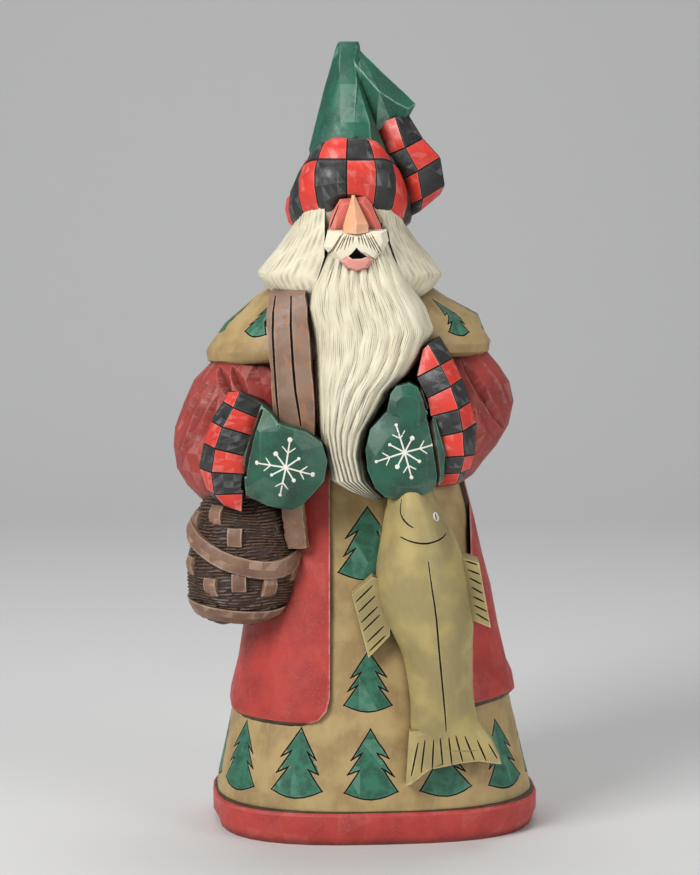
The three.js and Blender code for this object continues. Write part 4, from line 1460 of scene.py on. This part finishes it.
PAINTS = {
    "coat_red": paint(
        (0.46, 0.042, 0.03), (0.36, 0.03, 0.024), (0.5, 0.1, 0.08), (0.7, 0.36, 0.3), rubbed=0.35, knife=1,
    ),
    "sleeve_red": paint(
        (0.36, 0.04, 0.03), (0.26, 0.03, 0.024), (0.4, 0.12, 0.1), (0.66, 0.3, 0.25), rubbed=0.8,
    ),
    "band_red": paint(
        (0.5, 0.05, 0.04), (0.4, 0.035, 0.03), (0.54, 0.14, 0.11), (0.7, 0.38, 0.32), rubbed=0.35, knife=1,
    ),
    "robe_tan": paint(
        (0.44, 0.31, 0.13), (0.33, 0.22, 0.09), (0.5, 0.38, 0.18), (0.6, 0.48, 0.28), rubbed=0.25, ridge=0.4, grain=3,
    ),
    "cap_green": paint(
        (0.012, 0.125, 0.07), (0.01, 0.075, 0.045), (0.12, 0.24, 0.18), (0.3, 0.52, 0.4), rubbed=0.9, ridge=0.9,
    ),
    "mitten_green": paint(
        (0.012, 0.1, 0.058), (0.012, 0.055, 0.035), (0.085, 0.16, 0.115), (0.22, 0.4, 0.3), ridge=0.7,
    ),
    "check_red": paint(
        (0.72, 0.042, 0.026), (0.6, 0.032, 0.02), (0.74, 0.24, 0.19), (0.82, 0.4, 0.32), rubbed=0.5, gloss=0.4,
    ),
    "check_black": paint(
        (0.028, 0.028, 0.028), (0.018, 0.018, 0.018), (0.11, 0.11, 0.115), (0.2, 0.2, 0.2), rubbed=0.9, gloss=0.4,
    ),
    "burned_line": paint(
        (0.01, 0.007, 0.005), (0.014, 0.01, 0.007), (0.02, 0.014, 0.01), (0.02, 0.014, 0.01), ridge=0,
    ),
    "hair_white": paint(
        (0.8, 0.74, 0.55), (0.72, 0.65, 0.46), (0.8, 0.75, 0.58), (0.88, 0.85, 0.72), shade_depth=0.9, gloss=0.6,
    ),
    "hair_shade": paint(
        (0.34, 0.27, 0.17), (0.28, 0.22, 0.13), (0.4, 0.32, 0.2), (0.5, 0.42, 0.3), gloss=0.6,
    ),
    "strap_brown": paint(
        (0.27, 0.17, 0.12), (0.2, 0.11, 0.07), (0.36, 0.15, 0.06), (0.52, 0.36, 0.25), rubbed=0.9,
    ),
    "reed_dark": paint(
        (0.05, 0.021, 0.012), (0.035, 0.014, 0.008), (0.13, 0.07, 0.045), (0.24, 0.14, 0.09), ridge=0.8,
    ),
    "splint_brown": paint(
        (0.24, 0.13, 0.08), (0.16, 0.08, 0.05), (0.36, 0.23, 0.16), (0.5, 0.36, 0.26), rubbed=0.9, ridge=0.8,
    ),
    "fish_olive": paint(
        (0.33, 0.26, 0.11), (0.46, 0.36, 0.13), (0.4, 0.32, 0.14), (0.62, 0.52, 0.3), rubbed=0.3, broad=60,
    ),
    "tree_green": paint(
        (0.03, 0.16, 0.095), (0.014, 0.09, 0.052), (0.1, 0.26, 0.18), (0.2, 0.4, 0.28), broad=260,
    ),
    "snow_white": paint(
        (0.82, 0.79, 0.7), (0.76, 0.72, 0.62), (0.8, 0.76, 0.66), (0.88, 0.86, 0.8), shade_depth=0.3,
    ),
    "skin_peach": paint((0.82, 0.42, 0.23), (0.78, 0.36, 0.19), (0.84, 0.5, 0.3), (0.88, 0.62, 0.42)),
    "cheek_pink": paint((0.74, 0.17, 0.13), (0.66, 0.12, 0.09), (0.76, 0.26, 0.2), (0.84, 0.5, 0.36)),
    "lip_pink": paint(
        (0.7, 0.27, 0.22), (0.62, 0.2, 0.16), (0.76, 0.36, 0.3), (0.86, 0.6, 0.52), ridge=0.9,
    ),
    "mouth_black": paint(
        (0.008, 0.006, 0.006), (0.008, 0.006, 0.006), (0.01, 0.008, 0.008), (0.01, 0.008, 0.008), ridge=0,
    ),
    # Dark brown of the hem lines, also painted as shade under the hems and the cape's roll and in the grooves by the
    # cuffs.
    "hem_brown": paint((0.06, 0.032, 0.018), (0.04, 0.02, 0.011), (0.12, 0.07, 0.04), (0.2, 0.12, 0.08)),
    "eye_white": paint(
        (0.8, 0.8, 0.75), (0.76, 0.75, 0.7), (0.8, 0.8, 0.75), (0.84, 0.84, 0.8), shade_depth=0.3, gloss=0.25,
    ),
}
NAMES = list(PAINTS)
SLOT = {name: index for index, name in enumerate(NAMES)}


class Nodes:
    """Builds one material's node tree."""

    def __init__(self, name):
        self.material = bpy.data.materials.new(name)
        self.material.use_nodes = True
        self.tree = self.material.node_tree
        self.shader = self.tree.nodes["Principled BSDF"]

    def join(self, value, target):
        if isinstance(value, bpy.types.NodeSocket):
            self.tree.links.new(value, target)
        else:
            target.default_value = (*value, 1) if isinstance(value, tuple) and len(value) == 3 else value

    def add(self, kind, inputs=None, **settings):
        node = self.tree.nodes.new(kind)
        for key, value in settings.items():
            setattr(node, key, value)
        for key, value in (inputs or {}).items():
            self.join(value, node.inputs[key])
        return node

    def place(self, stretch=(1, 1, 1)):
        coordinates = self.add("ShaderNodeTexCoord").outputs["Object"]
        node = self.add("ShaderNodeMapping", {"Vector": coordinates})
        node.inputs["Scale"].default_value = stretch
        return node.outputs["Vector"]

    def noise(self, scale, detail=3, stretch=(1, 1, 1)):
        inputs = {"Vector": self.place(stretch), "Scale": scale, "Detail": detail}
        return self.add("ShaderNodeTexNoise", inputs).outputs["Fac"]

    def remap(self, value, low, high, to_low=0, to_high=1):
        inputs = {"Value": value, "From Min": low, "From Max": high, "To Min": to_low, "To Max": to_high}
        return self.add("ShaderNodeMapRange", inputs, interpolation_type="SMOOTHSTEP").outputs["Result"]

    def times(self, a, b):
        return self.add("ShaderNodeMath", {0: a, 1: b}, operation="MULTIPLY").outputs[0]

    def plus(self, a, b):
        return self.add("ShaderNodeMath", {0: a, 1: b}, operation="ADD").outputs[0]

    def blend(self, share, a, b):
        node = self.add("ShaderNodeMix", {0: share}, data_type="RGBA")
        self.join(a, node.inputs[6])
        self.join(b, node.inputs[7])
        return node.outputs[2]

    def attribute(self, name):
        return self.add("ShaderNodeAttribute", attribute_name=name).outputs["Fac"]

    def shadow(self, reach, inside=False):
        """From 0 on open ground to 1 in a tight recess, or on a sharp ridge when looked at from inside."""
        node = self.add("ShaderNodeAmbientOcclusion", {"Distance": reach}, inside=inside, samples=8)
        return self.add("ShaderNodeMath", {0: 1.0, 1: node.outputs["AO"]}, operation="SUBTRACT").outputs[0]


RIDGE_REACH = 0.0008
RECESS_REACH = 0.005


def paint_material(name, base, second, worn, light, rubbed, ridge, shade_depth, gloss, broad, knife, grain):
    nodes = Nodes(name)
    patchy = nodes.noise(broad)
    middling = nodes.noise(330, 4)
    fine = nodes.noise(1500, 2, (1, 1, 1 / grain))
    colour = nodes.blend(nodes.remap(patchy, 0.38, 0.64), base, second)
    wear = nodes.attribute("wear")
    facet = nodes.times(nodes.remap(wear, 0.45, 0.85), nodes.remap(middling, 0.36, 0.58, 0.35, 1))
    colour = nodes.blend(nodes.times(facet, rubbed), colour, worn)
    rub = nodes.times(nodes.remap(fine, 0.5, 0.8), nodes.remap(patchy, 0.4, 0.62, 0.04, 0.16))
    colour = nodes.blend(rub, colour, light)
    edge = nodes.remap(nodes.shadow(RIDGE_REACH, inside=True), 0.04, 0.34)
    edge = nodes.times(edge, nodes.remap(middling, 0.34, 0.6, ridge * 0.35, ridge))
    colour = nodes.blend(edge, colour, light)
    # Painted shade: recesses and gaps between parts, found by ambient occlusion, are darkened toward a dark brown.
    recess = nodes.remap(nodes.shadow(RECESS_REACH), 0.16, 0.78)
    colour = nodes.blend(nodes.times(recess, nodes.remap(middling, 0.3, 0.62, shade_depth * 0.7, shade_depth)), colour, RECESS_SHADE)
    # Points marked in the grooves of the hair, beard and creel are darkened toward a dark copy of the second tone.
    darkening = nodes.times(nodes.attribute("darkening"), nodes.remap(middling, 0.3, 0.6, 0.45, 0.8))
    darker_tone = tuple(channel * 0.3 for channel in second)
    colour = nodes.blend(darkening, colour, darker_tone)
    nodes.join(colour, nodes.shader.inputs["Base Color"])
    nodes.join(nodes.remap(middling, 0.3, 0.7, gloss - 0.08, gloss + 0.14), nodes.shader.inputs["Roughness"])
    height = nodes.times(fine, 0.35)
    if knife:
        cuts = nodes.add("ShaderNodeTexVoronoi", {"Vector": nodes.place((1, 1, 0.55)), "Scale": 190.0})
        height = nodes.plus(height, nodes.times(cuts.outputs["Distance"], 1.6))
    bump = nodes.add("ShaderNodeBump", {"Height": height, "Strength": 0.6, "Distance": 0.0003})
    nodes.join(bump.outputs["Normal"], nodes.shader.inputs["Normal"])
    return nodes.material


materials = [paint_material(name, **settings) for name, settings in PAINTS.items()]


# The figure

def keep_biggest(mesh):
    """Drops the closed-off pockets inside the block, as the wood there is solid."""
    bm = bmesh.new()
    bm.from_mesh(mesh)
    seen, biggest = set(), []
    for start in bm.verts:
        if start in seen:
            continue
        group, stack = [], [start]
        seen.add(start)
        while stack:
            vertex = stack.pop()
            group.append(vertex)
            for edge in vertex.link_edges:
                other = edge.other_vert(vertex)
                if other not in seen:
                    seen.add(other)
                    stack.append(other)
        if len(group) > len(biggest):
            biggest = group
    kept = set(biggest)
    bmesh.ops.delete(bm, geom=[vertex for vertex in bm.verts if vertex not in kept], context="VERTS")
    bm.to_mesh(mesh)
    bm.free()


figure = carving()
carve_strokes(figure)
keep_biggest(figure.data)
figure.data.set_sharp_from_angle(angle=math.radians(SHARP_ANGLE))
figure.name = "painted_fisherman"
figure.data.name = "painted_fisherman"
for vertex in figure.data.vertices:
    vertex.co *= MILLIMETRE
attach(figure, "root")
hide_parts("fisherman_carving")
print("triangles", sum(len(polygon.vertices) - 2 for polygon in figure.data.polygons))


# Camera, floor and lights

def camera():
    """The photograph's view: seven degrees down on the figure from a metre away."""
    data = bpy.data.cameras.new("camera")
    data.sensor_fit = "VERTICAL"
    data.sensor_height = 36
    data.lens = 106.44
    thing = bpy.data.objects.new("camera", data)
    thing.location = (-0.0093, -0.99255, 0.27087)
    thing.rotation_euler = (math.radians(83), 0, 0)
    bpy.context.scene.collection.objects.link(thing)
    bpy.context.scene.camera = thing


def stage():
    """A pale floor that sweeps up behind the figure."""
    profile = [(-1.6, 0), (0.75, 0)]
    for step in range(1, 13):
        angle = math.radians(step / 12 * 90)
        profile.append((0.75 + 0.5 * math.sin(angle), 0.5 - 0.5 * math.cos(angle)))
    profile.append((1.25, 2.2))
    points = [(x, y, z) for y, z in profile for x in (-2.4, 2.4)]
    faces = [(2 * k, 2 * k + 1, 2 * k + 3, 2 * k + 2) for k in range(len(profile) - 1)]
    mesh = bpy.data.meshes.new("floor")
    mesh.from_pydata(points, [], faces)
    mesh.polygons.foreach_set("use_smooth", [True] * len(faces))
    floor = bpy.data.objects.new("floor", mesh)
    bpy.context.scene.collection.objects.link(floor)
    material = bpy.data.materials.new("pale_floor")
    material.use_nodes = True
    shader = material.node_tree.nodes["Principled BSDF"]
    shader.inputs["Base Color"].default_value = (0.62, 0.62, 0.61, 1)
    shader.inputs["Roughness"].default_value = 0.8
    mesh.materials.append(material)


def light(name, location, target, size, watts, colour=(1, 1, 1)):
    data = bpy.data.lights.new(name, "AREA")
    data.shape = "RECTANGLE"
    data.size, data.size_y = size
    data.energy = watts
    data.color = colour
    thing = bpy.data.objects.new(name, data)
    thing.location = location
    aim = Vector(target) - Vector(location)
    thing.rotation_euler = aim.to_track_quat("-Z", "Y").to_euler()
    bpy.context.scene.collection.objects.link(thing)


def world():
    surroundings = bpy.data.worlds.new("studio")
    surroundings.use_nodes = True
    background = surroundings.node_tree.nodes["Background"]
    background.inputs["Color"].default_value = (0.9, 0.93, 1, 1)
    background.inputs["Strength"].default_value = 0.2
    bpy.context.scene.world = surroundings


bpy.context.scene.view_settings.view_transform = "Standard"
camera()
stage()
light("key", (-0.75, -0.85, 0.85), (0, 0, 0.14), (0.5, 0.5), 15)
light("fill", (0.95, -0.75, 0.5), (0, 0, 0.14), (0.6, 0.6), 5)
light("top", (0, 0.25, 1.1), (0, 0, 0.15), (0.8, 0.5), 5)
world()
